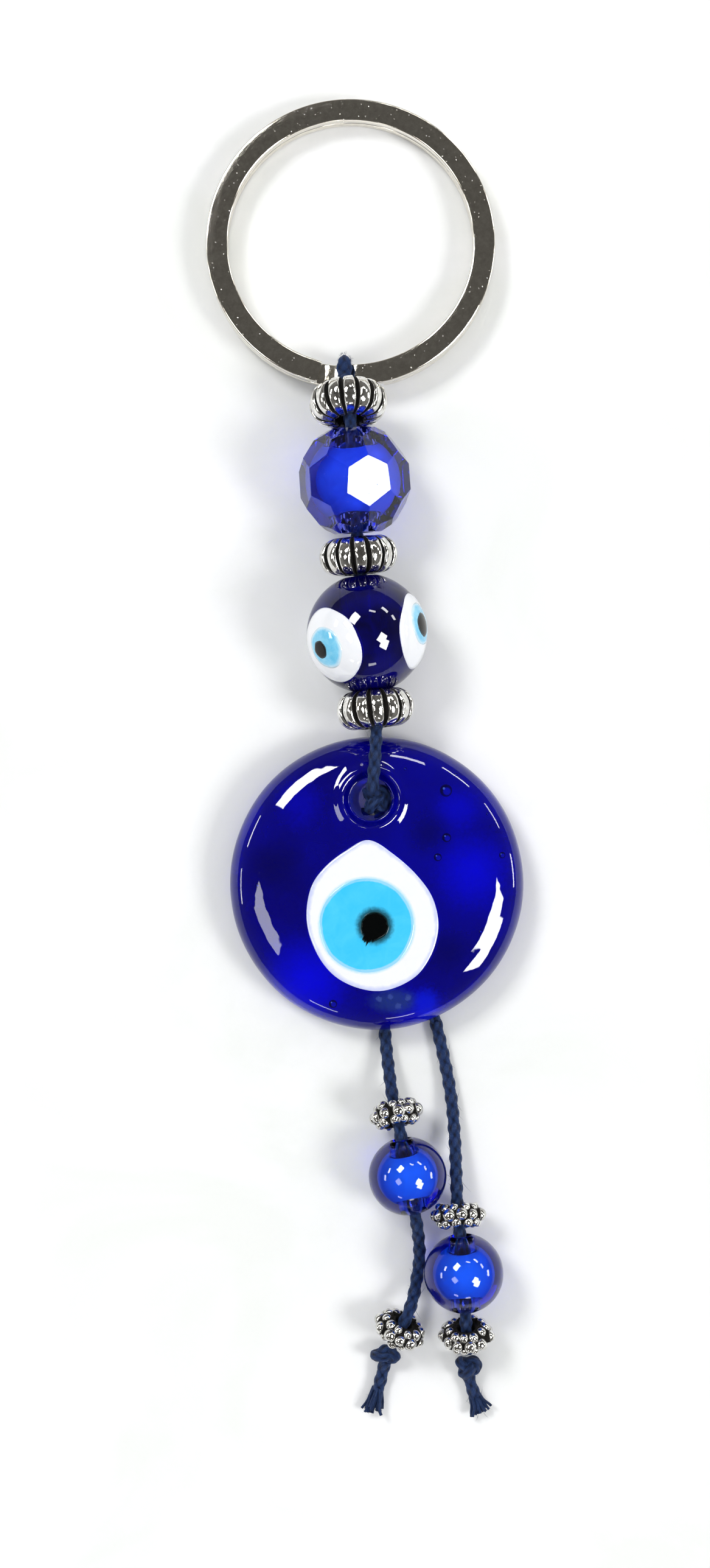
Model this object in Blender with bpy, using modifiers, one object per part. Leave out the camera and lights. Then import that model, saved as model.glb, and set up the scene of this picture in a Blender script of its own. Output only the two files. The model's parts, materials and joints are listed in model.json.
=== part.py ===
"""Evil-eye charm on a key ring, lying on a table: a glass disc with an inlaid eye, a doubled waxed cord strung
with beads that ends in a loop on a split ring, and two beaded cord tails that come out from behind the disc.

The charm lies along Y with the key ring towards +Y and the table at z = 0. Lengths below are in millimetres
and become metres through MM. Every moving piece has its origin, or its parent empty, on its joint's axis.
"""

import math

import bmesh
import bpy
from mathutils import Matrix, Vector

MM = 0.001
GAP = 0.05  # clearance between pieces set in each other

# Key ring: a split ring of flat wire wound twice, with a joggle where the coils change places
RING_CENTRE = (-1.415, 33.23, 1.9)
RING_OUTER_R = 14.9
RING_WIRE_WIDTH = 2.25
RING_WIRE_THICK = 1.3
RING_COIL_PITCH = 1.4
RING_CHAMFER = 0.2
RING_TILT_DEG = -2.1
RING_END_DEG = 13.5  # the cut ends stop this far from the side that faces the stem
RING_JOGGLE_DEG = 8.0  # half the joggle's length
RING_JOGGLE_MIDDLE_DEG = -4.5

# Cord
CORD_R = 0.68
LOOP_R = 0.45  # the loop is squeezed flat round the ring
LOOP_FLATTEN = 1.85
STRAND_OFFSET = 0.72  # the two strands lie one above the other in the bores

# The doubled cord's middle line, from the loop down to the disc
STEM_PATH = [
    (-1.98, 17.95, 5.72), (-1.66, 16.22, 6.28), (-1.42, 14.30, 6.64), (-1.30, 12.50, 6.50),
    (-0.98, 8.46, 6.20), (-0.75, 3.60, 5.88), (-0.63, 0.76, 5.98), (-0.25, -2.80, 6.20),
    (0.20, -7.21, 6.30), (0.68, -11.60, 6.25), (1.10, -14.77, 6.12), (1.25, -16.50, 6.00),
]
STEM_TOP_Y = 16.7
STEM_END_Y = -15.6

# Ribbed metal rondelles on the stem: name, centre, tilt of the bead's axis from the table in degrees
RONDELLES = [
    ("rondelle_top", (-1.66, 16.24, 6.30), -17.0),
    ("rondelle_middle", (-0.63, 0.76, 5.98), 2.0),
    ("rondelle_bottom", (1.10, -14.85, 6.12), -1.5),
]
RONDELLE_R = 4.0
RONDELLE_HALF = 1.93
RONDELLE_BORE_R = 1.7
RONDELLE_MOUTH_R = 2.2
RONDELLE_RIBS = 14
RONDELLE_GROOVE = 0.07
RONDELLE_LEAN_DEG = {"rondelle_top": 4.5, "rondelle_middle": 5.0, "rondelle_bottom": 6.5}

# Faceted bead: eight upright hexagons round the middle, eight pentagons above and below, two flat ends
FACETED_CENTRE = (-0.98, 8.38, 6.18)
FACETED_TILT_DEG = 3.0
FACETED_LEAN_DEG = 3.8
FACETED_SIDE_R = 5.45
FACETED_SIDE_HALF = 1.75
FACETED_PEAK_HALF = 2.65
FACETED_END_HALF = 5.3
FACETED_END_R = 2.1
FACETED_FIRST_DEG = 15.0
FACETED_CORE_R = 3.2
STEM_BORE_R = 1.6

# Eye bead: round cobalt glass with three melted eyes
EYE_BEAD_CENTRE = (0.20, -7.21, 6.30)
EYE_BEAD_R = 6.1
EYE_BEAD_LEAN_DEG = 6.3
EYE_AZIMUTHS_DEG = (-47.0, 77.0, 197.0)
EYE_LOW_DEG = (-8.0, 3.0, 0.0)
WHITE_HALF_DEG = 41.0
IRIS_HALF_DEG = 20.5
PUPIL_HALF_DEG = 9.5

# Disc
DISC_CENTRE = (1.28, -32.73)
DISC_R = 15.14
DISC_BACK_Z = 1.5
DISC_THICK = 4.7
DOME_DROP = 3.78e-5  # the front falls by this much times the fourth power of the distance from its middle
HOLE_CENTRE = (0.69, -24.08)
HOLE_R = 2.25
HOLE_LIP_R = 3.1
WHITE_CENTRE = (0.82, -36.08)
# The drop-shaped white, clockwise from its tip, about WHITE_CENTRE
WHITE_OUTLINE = [
    (-0.35, 7.85), (2.3, 6.35), (4.6, 4.25), (6.2, 1.85), (6.78, -0.9), (6.2, -3.6), (4.7, -5.9),
    (2.4, -7.25), (0.3, -7.6), (-2.2, -7.0), (-4.3, -5.65), (-5.95, -3.2), (-6.75, -0.2), (-6.3, 2.9),
    (-4.9, 5.05), (-2.7, 6.75),
]
WHITE_DEPTH = 1.1
IRIS_CENTRE = (0.26, -36.95)
IRIS_R = 4.8
IRIS_DEPTH = 0.7
PUPIL_CENTRE = (1.07, -37.0)
PUPIL_R = 1.45
PUPIL_DEPTH = 0.35
HOLE_KNOT = (1.15, -24.1, 4.3)

# Cord pieces at the disc
FRONT_STRAND = [(0.86, -22.75, 6.62), (0.95, -21.6, 6.75), (1.1, -19.6, 6.74), (1.2, -17.7, 6.68)]
BACK_STRAND = [
    (1.3, -17.28, 4.75), (1.3, -17.2, 4.1), (1.3, -17.06, 3.3), (1.3, -17.02, 2.6), (1.3, -17.12, 1.8),
    (1.25, -17.6, 1.05), (1.2, -18.6, 0.72), (1.1, -20.5, 0.72), (1.0, -22.9, 0.72),
]
BACK_STRAND_R = 0.42
LEFT_BEHIND = [(-0.1, -25.0, 0.72), (0.2, -32.0, 0.72), (1.1, -40.0, 0.72), (2.05, -47.5, 0.72)]
RIGHT_BEHIND = [(1.55, -25.0, 0.72), (3.3, -32.0, 0.72), (5.4, -40.0, 0.72), (7.3, -46.75, 0.72)]

# Loop round the ring's wire, in the plane x = LOOP_X: (y, z)
LOOP_X = -2.04
LOOP_ROUTE = [
    (18.5, 5.85), (18.95, 5.2), (19.7, 4.55), (20.6, 4.4), (21.06, 4.0), (21.17, 3.4), (21.17, 2.4),
    (21.15, 1.5), (20.95, 0.85), (20.4, 0.6), (19.5, 0.57), (18.5, 0.59), (17.97, 0.85), (17.78, 1.5),
    (17.76, 2.5), (17.79, 3.3), (17.84, 3.95), (18.0, 4.6), (18.2, 5.0),
]

# Tails: the cord's route, then the pieces on it
LEFT_TAIL = [
    (2.16, -48.3, 0.75), (2.43, -51.07, 1.5), (2.92, -54.73, 3.1), (3.3, -56.45, 3.6), (3.72, -58.45, 3.97),
    (4.46, -62.78, 4.07), (5.25, -66.9, 3.9), (5.6, -69.2, 2.9), (5.72, -71.4, 2.1), (5.5, -73.4, 1.75),
    (5.1, -75.4, 2.4), (4.5, -77.1, 3.2), (3.72, -78.75, 2.9), (2.95, -80.2, 2.25),
]
RIGHT_TAIL = [
    (7.5, -47.5, 0.75), (8.18, -50.45, 0.8), (8.81, -53.6, 0.95), (9.17, -56.3, 1.3), (9.4, -59.8, 2.1),
    (9.5, -63.46, 3.2), (9.62, -66.86, 3.75), (9.85, -69.0, 4.1), (10.22, -72.75, 4.17), (10.4, -76.8, 3.9),
    (10.55, -79.24, 3.1), (10.65, -81.2, 2.3),
]
LEFT_STUB = [(2.1, -82.75, 1.2), (1.7, -84.4, 0.85), (1.25, -86.3, 0.85), (0.95, -87.9, 1.0)]
RIGHT_STUB = [(10.95, -84.3, 1.1), (11.5, -86.0, 0.9), (12.3, -88.0, 1.0)]
TAIL_BORE_R = 1.0
SPACER_R = 2.85
SPACER_HALF = 1.35
SPACER_LUMPS = 10
CORE_SHARE = 0.52
# Spacers: name, centre, axis
SPACERS = [
    ("left_spacer_upper", (3.3, -56.45, 3.6), (-0.19, 0.96, -0.2)),
    ("left_spacer_lower", (3.72, -78.75, 2.92), (0.42, 0.83, 0.33)),
    ("right_spacer_upper", (9.62, -66.86, 3.7), (-0.05, 0.98, -0.18)),
    ("right_spacer_lower", (10.55, -79.24, 3.2), (-0.05, 0.91, 0.38)),
]
# Tail beads: name, centre, radius, axis
TAIL_BEADS = [
    ("left_bead", (4.46, -62.78, 4.07), 4.02, (-0.18, 0.98, 0.01)),
    ("right_bead", (10.22, -72.75, 4.17), 4.1, (-0.065, 0.99, 0.03)),
]
# End knots: name, centre, half sizes, turn about Z in degrees
END_KNOTS = [
    ("left_end_knot", (2.3, -81.55, 1.65), (1.75, 1.05, 1.2), 10.0),
    ("right_end_knot", (10.75, -82.85, 1.5), (1.5, 1.35, 1.2), -10.0),
]
FRAY_R = 0.95

COLOURS = {
    "steel": ((0.55, 0.53, 0.50, 1), 0.2, 1.0),
    "silver": ((0.70, 0.69, 0.66, 1), 0.3, 1.0),
    "cord": ((0.03, 0.06, 0.20, 1), 0.6, 0.0),
    "clear_blue": ((0.20, 0.25, 0.75, 1), 0.05, 0.0),
    "core_blue": ((0.05, 0.15, 0.85, 1), 0.3, 0.0),
    "cobalt": ((0.0, 0.0, 0.35, 1), 0.05, 0.0),
    "white": ((0.9, 0.9, 0.92, 1), 0.1, 0.0),
    "light_blue": ((0.15, 0.65, 1.0, 1), 0.1, 0.0),
    "black": ((0.01, 0.01, 0.01, 1), 0.1, 0.0),
}


# ---------------------------------------------------------------- scene, materials and small helpers


def clear_scene():
    for obj in list(bpy.data.objects):
        bpy.data.objects.remove(obj)


def collection(name, parent):
    made = bpy.data.collections.new(name)
    parent.children.link(made)
    return made


def material(obj, look):
    """Gives obj a material of its own in one of the COLOURS."""
    colour, roughness, metallic = COLOURS[look]
    made = bpy.data.materials.new(obj.name)
    made.use_nodes = True
    shader = made.node_tree.nodes["Principled BSDF"]
    shader.inputs["Base Color"].default_value = colour
    shader.inputs["Roughness"].default_value = roughness
    shader.inputs["Metallic"].default_value = metallic
    obj.data.materials.clear()
    obj.data.materials.append(made)


def mm(point):
    return Vector(point) * MM


def axis_turn(direction):
    """Rotation that takes Z onto direction."""
    return Vector(direction).normalized().to_track_quat("Z", "Y").to_matrix().to_4x4()


def bead_axis(tilt_deg, lean_deg):
    """A stem bead's axis: along +Y, raised by tilt and leaning towards -X by lean."""
    tilt, lean = math.radians(tilt_deg), math.radians(lean_deg)
    return (-math.sin(lean) * math.cos(tilt), math.cos(lean) * math.cos(tilt), math.sin(tilt))


def place(obj, centre, direction, spin_deg=0.0):
    """Puts obj's origin at centre with its Z axis along direction."""
    spin = Matrix.Rotation(math.radians(spin_deg), 4, "Z")
    obj.matrix_world = Matrix.Translation(mm(centre)) @ axis_turn(direction) @ spin


def mesh_object(name, bm, home):
    bmesh.ops.recalc_face_normals(bm, faces=bm.faces)
    mesh = bpy.data.meshes.new(name)
    bm.to_mesh(mesh)
    bm.free()
    obj = bpy.data.objects.new(name, mesh)
    home.objects.link(obj)
    return obj


def smooth_path(points, spacing):
    """Points every spacing along a smooth curve through the given points, in millimetres."""
    pts = [Vector(p) for p in points]
    pts = [2 * pts[0] - pts[1]] + pts + [2 * pts[-1] - pts[-2]]
    fine = []
    for a, b, c, d in zip(pts, pts[1:], pts[2:], pts[3:]):
        for i in range(12):
            t = i / 12
            fine.append(0.5 * (2 * b + (c - a) * t + (2 * a - 5 * b + 4 * c - d) * t * t
                               + (3 * b - a - 3 * c + d) * t ** 3))
    fine.append(pts[-2])
    lengths = [0.0]
    for a, b in zip(fine, fine[1:]):
        lengths.append(lengths[-1] + (b - a).length)
    count = max(2, round(lengths[-1] / spacing))
    out, k = [], 0
    for i in range(count + 1):
        want = lengths[-1] * i / count
        while k < len(fine) - 2 and lengths[k + 1] < want:
            k += 1
        share = (want - lengths[k]) / (lengths[k + 1] - lengths[k])
        out.append(fine[k].lerp(fine[k + 1], min(1.0, max(0.0, share))))
    return out


def tube(name, points, radius, home, look="cord"):
    """A round cord along points, which are relative to the object's origin, in millimetres."""
    curve = bpy.data.curves.new(name, "CURVE")
    curve.dimensions = "3D"
    curve.bevel_depth = radius * MM
    curve.bevel_resolution = 2
    curve.use_fill_caps = True
    spline = curve.splines.new("POLY")
    spline.points.add(len(points) - 1)
    for target, point in zip(spline.points, points):
        target.co = (*mm(point), 1.0)
    spline.use_smooth = True
    obj = bpy.data.objects.new(name, curve)
    home.objects.link(obj)
    material(obj, look)
    return obj


def lathe(name, profile, steps, home, look=None):
    """A turned solid. The profile is (radius, height) in millimetres, down the outer side from the top; a
    profile whose ends lie off the axis is closed into a ring."""
    closed = profile[0][0] > 1e-6
    bm = bmesh.new()
    points = [bm.verts.new((r * MM, 0.0, z * MM)) for r, z in profile]
    pairs = list(zip(points, points[1:] + ([points[0]] if closed else [])))
    for a, b in pairs if closed else pairs[:len(points) - 1]:
        bm.edges.new((a, b))
    mesh = bpy.data.meshes.new(name)
    bm.to_mesh(mesh)
    bm.free()
    obj = bpy.data.objects.new(name, mesh)
    home.objects.link(obj)
    screw = obj.modifiers.new("turn", "SCREW")
    screw.steps = screw.render_steps = steps
    screw.use_merge_vertices = True
    screw.merge_threshold = 1e-6
    screw.use_smooth_shade = True
    if look:
        material(obj, look)
    return obj


def freeze(obj):
    """Turns an object's modifiers into plain mesh, with its faces pointing out."""
    bpy.context.view_layer.update()
    depsgraph = bpy.context.evaluated_depsgraph_get()
    mesh = bpy.data.meshes.new_from_object(obj.evaluated_get(depsgraph))
    bm = bmesh.new()
    bm.from_mesh(mesh)
    bmesh.ops.remove_doubles(bm, verts=bm.verts, dist=1e-6)
    bmesh.ops.recalc_face_normals(bm, faces=bm.faces)
    bm.to_mesh(mesh)
    bm.free()
    obj.modifiers.clear()
    obj.data = mesh


def cut(target, cutter):
    """Cuts cutter out of target with an exact Boolean."""
    change = target.modifiers.new(cutter.name, "BOOLEAN")
    change.operation = "DIFFERENCE"
    change.solver = "EXACT"
    change.object = cutter
    cutter.hide_render = True
    cutter.display_type = "WIRE"


def arc(radius, start_deg, end_deg, steps):
    """(radius, height) points round an arc about the origin; 0 degrees is the top of the axis."""
    points = []
    for i in range(steps + 1):
        a = math.radians(start_deg + (end_deg - start_deg) * i / steps)
        points.append((radius * math.sin(a), radius * math.cos(a)))
    return points


def pivot(name, at, home):
    """An empty on a joint's axis, which a moving group is parented to."""
    empty = bpy.data.objects.new(name, None)
    empty.empty_display_size = 2 * MM
    empty.location = mm(at)
    home.objects.link(empty)
    return empty


def hang(obj, empty):
    """Parents obj to empty and leaves it where it is."""
    bpy.context.view_layer.update()
    obj.parent = empty
    obj.matrix_parent_inverse = empty.matrix_world.inverted()


# ---------------------------------------------------------------- key ring and loop


def ring_height(angle_deg):
    """Height of the wire's middle at a place along the two turns, measured from the side nearest the stem."""
    past = angle_deg - RING_JOGGLE_MIDDLE_DEG + RING_JOGGLE_DEG
    share = min(1.0, max(0.0, past / (2 * RING_JOGGLE_DEG)))
    return RING_COIL_PITCH * (share * share * (3 - 2 * share) - 0.5)


def key_ring(home):
    half_w, half_t, ch = RING_WIRE_WIDTH / 2, RING_WIRE_THICK / 2, RING_CHAMFER
    corners = [
        (half_w - ch, half_t), (half_w, half_t - ch), (half_w, ch - half_t), (half_w - ch, -half_t),
        (ch - half_w, -half_t), (-half_w, ch - half_t), (-half_w, half_t - ch), (ch - half_w, half_t),
    ]
    middle_r = RING_OUTER_R - half_w
    sweep_deg = 2 * (360.0 - RING_END_DEG)
    count = 96
    bm = bmesh.new()
    loops = []
    for i in range(count + 1):
        along = -sweep_deg / 2 + sweep_deg * i / count
        a = math.radians(along - 90.0)
        height = ring_height(along)
        loops.append([bm.verts.new(((middle_r + u) * MM * math.cos(a), (middle_r + u) * MM * math.sin(a),
                                    (height + v) * MM)) for u, v in corners])
    for one, two in zip(loops, loops[1:]):
        for k in range(len(corners)):
            n = (k + 1) % len(corners)
            bm.faces.new((one[k], one[n], two[n], two[k]))
    bm.faces.new(loops[0])
    bm.faces.new(loops[-1][::-1])
    obj = mesh_object("key_ring", bm, home)
    obj.location = mm(RING_CENTRE)
    obj.rotation_euler.x = math.radians(RING_TILT_DEG)
    material(obj, "steel")
    return obj


def ring_loop(home):
    route = smooth_path([(0.0, y, z) for y, z in LOOP_ROUTE], 0.8)
    loop = tube("cord_ring_loop", route, LOOP_R, home)
    loop.location.x = LOOP_X * MM
    loop.scale.x = LOOP_FLATTEN
    hang(loop, pivot("ring_loop_pivot", (LOOP_X, 18.4, 5.45), home))


# ---------------------------------------------------------------- stem: cord, rondelles, beads


def stem_strands(home):
    """The two strands through the stem's beads, one above the other."""
    middle = [p for p in smooth_path(STEM_PATH, 2.6) if STEM_END_Y < p.y < STEM_TOP_Y]
    for name, side in (("cord_stem_front", 1.0), ("cord_stem_back", -1.0)):
        points = []
        for i, p in enumerate(middle):
            along = (middle[min(i + 1, len(middle) - 1)] - middle[max(i - 1, 0)]).normalized()
            up = Vector((1.0, 0.0, 0.0)).cross(along)
            up = up if up.z > 0 else -up
            points.append(p + up.normalized() * STRAND_OFFSET * side)
        tube(name, points, CORD_R, home)


def flute(obj, lumps, depth, centre_r):
    """Draws the surface in between the lumps, once round for each lump, where it stands outside centre_r."""
    for v in obj.data.vertices:
        r = math.hypot(v.co.x, v.co.y)
        if r > centre_r * MM:
            dip = 0.5 - 0.5 * math.cos(lumps * math.atan2(v.co.y, v.co.x))
            keep = 1.0 - depth * dip
            v.co.x *= keep
            v.co.y *= keep


def rondelle(name, centre, tilt_deg, home):
    """A pumpkin-ribbed rondelle whose bore opens out at both faces."""
    rim = RONDELLE_MOUTH_R
    outer = []
    for i in range(7):
        a = math.pi * i / 6
        outer.append((rim + (RONDELLE_R - rim) * math.sin(a) ** 0.8, RONDELLE_HALF * math.cos(a)))
    inner = [(RONDELLE_BORE_R, -0.9), (RONDELLE_BORE_R, 0.9)]
    obj = lathe(name, outer + inner, 2 * RONDELLE_RIBS, home, "silver")
    freeze(obj)
    flute(obj, RONDELLE_RIBS, RONDELLE_GROOVE, rim + 0.3)
    place(obj, centre, bead_axis(tilt_deg, RONDELLE_LEAN_DEG[name]))


def ring_of(bm, radius, height, first_deg):
    step = 45.0
    return [bm.verts.new((radius * MM * math.cos(math.radians(first_deg + step * k)),
                          radius * MM * math.sin(math.radians(first_deg + step * k)), height * MM))
            for k in range(8)]


def faceted_bead(home, cutters):
    """The cut bead: its clear shell, and the opaque ball that the shell was moulded round."""
    apothem = FACETED_SIDE_R * math.cos(math.radians(22.5))
    bm = bmesh.new()
    for side in (1.0, -1.0):
        ring_of(bm, FACETED_SIDE_R, side * FACETED_SIDE_HALF, 22.5)
        ring_of(bm, apothem, side * FACETED_PEAK_HALF, 0.0)
        ring_of(bm, FACETED_END_R, side * FACETED_END_HALF, 0.0)
    bmesh.ops.convex_hull(bm, input=bm.verts)
    bmesh.ops.dissolve_limit(bm, angle_limit=math.radians(1.0), verts=bm.verts, edges=bm.edges)
    shell = mesh_object("faceted_bead_shell", bm, home)
    material(shell, "clear_blue")
    hollow_r = FACETED_CORE_R + GAP
    bore_deg = math.degrees(math.asin(STEM_BORE_R / hollow_r))
    reach = FACETED_END_HALF + 1.0
    profile = [(0.0, reach), (STEM_BORE_R, reach)] + arc(hollow_r, bore_deg, 180.0 - bore_deg, 8)
    profile += [(STEM_BORE_R, -reach), (0.0, -reach)]
    hollow = lathe("faceted_bead_hollow_cutter", profile, 20, cutters)
    freeze(hollow)
    cut(shell, hollow)
    bore_deg = math.degrees(math.asin(STEM_BORE_R / FACETED_CORE_R))
    core = lathe("faceted_bead_core", arc(FACETED_CORE_R, bore_deg, 180.0 - bore_deg, 8), 20, home, "core_blue")
    axis = bead_axis(FACETED_TILT_DEG, FACETED_LEAN_DEG)
    for obj in (shell, hollow, core):
        place(obj, FACETED_CENTRE, axis, FACETED_FIRST_DEG)


def eye_cap(name, steps_r, steps_deg, floor_r, home, look=None, sides=14):
    """A melted layer: its outer surface in steps of radius steps_r out to angles steps_deg, its floor at floor_r."""
    profile = [(0.0, steps_r[0])]
    before = 0.0
    for r, a in zip(steps_r, steps_deg):
        profile += arc(r, before, a, max(1, round((a - before) / 10)))[0 if before else 1:]
        before = a
    under = arc(floor_r, before, 0.0, max(1, round(before / 10)))
    profile += under[:-1] + [(0.0, floor_r)]
    obj = lathe(name, profile, sides, home, look)
    freeze(obj)
    return obj


def eye_bead(home, cutters):
    bore_deg = math.degrees(math.asin(STEM_BORE_R / EYE_BEAD_R))
    glass = lathe("eye_bead_glass", arc(EYE_BEAD_R, bore_deg, 180.0 - bore_deg, 10), 24, home, "cobalt")
    freeze(glass)
    axis = bead_axis(0.0, EYE_BEAD_LEAN_DEG)
    place(glass, EYE_BEAD_CENTRE, axis)
    along = Vector(axis)
    side = along.cross(Vector((0.0, 0.0, 1.0))).normalized()
    up = side.cross(along)
    layers = (
        ("white", (5.86, 6.25), (IRIS_HALF_DEG + 0.6, WHITE_HALF_DEG), 5.5, "white"),
        ("iris", (6.06, 6.27), (PUPIL_HALF_DEG + 0.6, IRIS_HALF_DEG), 5.9, "light_blue"),
        ("pupil", (6.29,), (PUPIL_HALF_DEG,), 6.1, "black"),
    )
    for k, (azimuth, low) in enumerate(zip(EYE_AZIMUTHS_DEG, EYE_LOW_DEG), 1):
        turn, drop = math.radians(azimuth), math.radians(low)
        out = (up * math.cos(turn) + side * math.sin(turn)) * math.cos(drop) + along * math.sin(drop)
        seat = eye_cap(f"eye_{k}_seat_cutter", (7.2,), (WHITE_HALF_DEG + 0.6,), 5.46, cutters)
        place(seat, EYE_BEAD_CENTRE, out)
        cut(glass, seat)
        for layer, radii, angles, floor_r, look in layers:
            cap = eye_cap(f"bead_eye_{k}_{layer}", radii, angles, floor_r, home, look)
            place(cap, EYE_BEAD_CENTRE, out)


# ---------------------------------------------------------------- disc and its eye


def dome(x, y):
    """Height of the disc's front at a place, above the disc's centre line."""
    r2 = (x - DISC_CENTRE[0]) ** 2 + (y - DISC_CENTRE[1]) ** 2
    return DISC_BACK_Z + DISC_THICK - DOME_DROP * r2 ** 2


def inlay(name, outline, centre, top, depth, home, look=None):
    """A piece set in the disc's front: its face follows the dome, raised by top; its floor lies depth below."""
    bm = bmesh.new()
    faces = []
    for lift in (top, -depth):
        middle = bm.verts.new((centre[0] * MM, centre[1] * MM, (dome(*centre) + lift) * MM))
        rings = []
        for share in (0.5, 1.0):
            spots = [(centre[0] + x * share, centre[1] + y * share) for x, y in outline]
            rings.append([bm.verts.new((x * MM, y * MM, (dome(x, y) + lift) * MM)) for x, y in spots])
        faces.append((middle, rings))
    count = len(outline)
    for middle, (inside, outside) in faces:
        for k in range(count):
            n = (k + 1) % count
            bm.faces.new((middle, inside[k], inside[n]))
            bm.faces.new((inside[k], outside[k], outside[n], inside[n]))
    for k in range(count):
        n = (k + 1) % count
        bm.faces.new((faces[0][1][1][k], faces[1][1][1][k], faces[1][1][1][n], faces[0][1][1][n]))
    obj = mesh_object(name, bm, home)
    if look:
        material(obj, look)
    return obj


def round_outline(radius, sides):
    return [(radius * math.sin(2 * math.pi * k / sides), radius * math.cos(2 * math.pi * k / sides))
            for k in range(sides)]


def grown(outline, gap):
    """The outline moved outwards by gap."""
    out = []
    for x, y in outline:
        size = math.hypot(x, y)
        out.append((x * (size + gap) / size, y * (size + gap) / size))
    return out


def drop_outline():
    """A smooth closed line through WHITE_OUTLINE, with its tip left a little sharp."""
    pts = [Vector((x, y, 0.0)) for x, y in WHITE_OUTLINE]
    out = []
    for i, b in enumerate(pts):
        a, c, d = pts[i - 1], pts[(i + 1) % len(pts)], pts[(i + 2) % len(pts)]
        for t in (0.0, 0.5):
            p = 0.5 * (2 * b + (c - a) * t + (2 * a - 5 * b + 4 * c - d) * t * t + (3 * b - a - 3 * c + d) * t ** 3)
            out.append((p.x, p.y))
    return out


def disc(home, cutters):
    edge_top = DISC_THICK - DOME_DROP * (DISC_R - 1.2) ** 4
    profile = [(0.0, DISC_THICK)]
    profile += [(r, DISC_THICK - DOME_DROP * r ** 4) for r in (4.5, 7.5, 10.0, 12.2)]
    profile += [(DISC_R - 1.2, edge_top), (DISC_R - 0.35, edge_top - 0.65), (DISC_R, edge_top - 1.35),
                (DISC_R - 0.35, 0.45), (DISC_R - 1.3, 0.0), (0.0, 0.0)]
    glass = lathe("disc_glass", profile, 48, home, "cobalt")
    glass.location = mm((*DISC_CENTRE, DISC_BACK_Z))
    bore = lathe("disc_hole_cutter", [(0.0, 9.0), (HOLE_LIP_R + 1.2, 9.0), (HOLE_LIP_R, 4.9), (HOLE_R, 3.7),
                                      (HOLE_R, 0.9), (HOLE_R + 0.5, -1.0), (0.0, -1.0)], 20, cutters)
    freeze(bore)
    bore.location = mm((*HOLE_CENTRE, DISC_BACK_Z))
    cut(glass, bore)
    white_line, iris_line, pupil_line = drop_outline(), round_outline(IRIS_R, 20), round_outline(PUPIL_R, 12)
    seat = inlay("disc_white_seat_cutter", grown(white_line, GAP), WHITE_CENTRE, 2.0, WHITE_DEPTH + GAP, cutters)
    cut(glass, seat)
    white = inlay("disc_white", white_line, WHITE_CENTRE, 0.06, WHITE_DEPTH, home, "white")
    seat = inlay("disc_iris_seat_cutter", grown(iris_line, GAP), IRIS_CENTRE, 2.0, IRIS_DEPTH + GAP, cutters)
    cut(white, seat)
    iris = inlay("disc_iris", iris_line, IRIS_CENTRE, 0.07, IRIS_DEPTH, home, "light_blue")
    seat = inlay("disc_pupil_seat_cutter", grown(pupil_line, GAP), PUPIL_CENTRE, 2.0, PUPIL_DEPTH + GAP, cutters)
    cut(iris, seat)
    inlay("disc_pupil", pupil_line, PUPIL_CENTRE, 0.08, PUPIL_DEPTH, home, "black")


# ---------------------------------------------------------------- knots, strands and tails


def lump(name, centre, half_sizes, turn_deg, home):
    """A plain knot: a rounded lump of cord."""
    bm = bmesh.new()
    bmesh.ops.create_uvsphere(bm, u_segments=12, v_segments=8, radius=MM)
    bmesh.ops.scale(bm, vec=half_sizes, verts=bm.verts)
    obj = mesh_object(name, bm, home)
    obj.location = mm(centre)
    obj.rotation_euler.z = math.radians(turn_deg)
    material(obj, "cord")
    return obj


def frayed_end(name, route, home):
    """The loose end past a knot, which opens out where its yarns have come apart."""
    points = smooth_path(route, 1.2)
    stub = tube(name, points, CORD_R, home)
    for i, point in enumerate(stub.data.splines[0].points):
        share = i / (len(points) - 1)
        point.radius = 1.0 + (FRAY_R / CORD_R - 1.0) * max(0.0, share - 0.6) / 0.4
    return stub


def spacer(name, centre, axis, home):
    """A small rondelle of melted granules."""
    outer = [(TAIL_BORE_R + 0.35, SPACER_HALF), (SPACER_R - 0.75, SPACER_HALF * 0.8), (SPACER_R, 0.3),
             (SPACER_R, -0.3), (SPACER_R - 0.75, -SPACER_HALF * 0.8), (TAIL_BORE_R + 0.35, -SPACER_HALF)]
    inner = [(TAIL_BORE_R, -0.8), (TAIL_BORE_R, 0.8)]
    obj = lathe(name, outer + inner, 2 * SPACER_LUMPS, home, "silver")
    freeze(obj)
    flute(obj, SPACER_LUMPS, 0.08, SPACER_R - 1.0)
    place(obj, centre, axis)
    return obj


def tail_bead(name, centre, radius, axis, home):
    """A round bead in a bead: a clear shell, and the opaque ball it was moulded round."""
    core_r = radius * CORE_SHARE
    bore_deg = math.degrees(math.asin(TAIL_BORE_R / radius))
    hollow_deg = math.degrees(math.asin(TAIL_BORE_R / (core_r + GAP)))
    profile = arc(radius, bore_deg, 180.0 - bore_deg, 9)
    profile += arc(core_r + GAP, 180.0 - hollow_deg, hollow_deg, 7)
    shell = lathe(name + "_shell", profile, 18, home, "clear_blue")
    core_deg = math.degrees(math.asin(TAIL_BORE_R / core_r))
    core = lathe(name + "_core", arc(core_r, core_deg, 180.0 - core_deg, 7), 18, home, "core_blue")
    for obj in (shell, core):
        place(obj, centre, axis)


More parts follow.
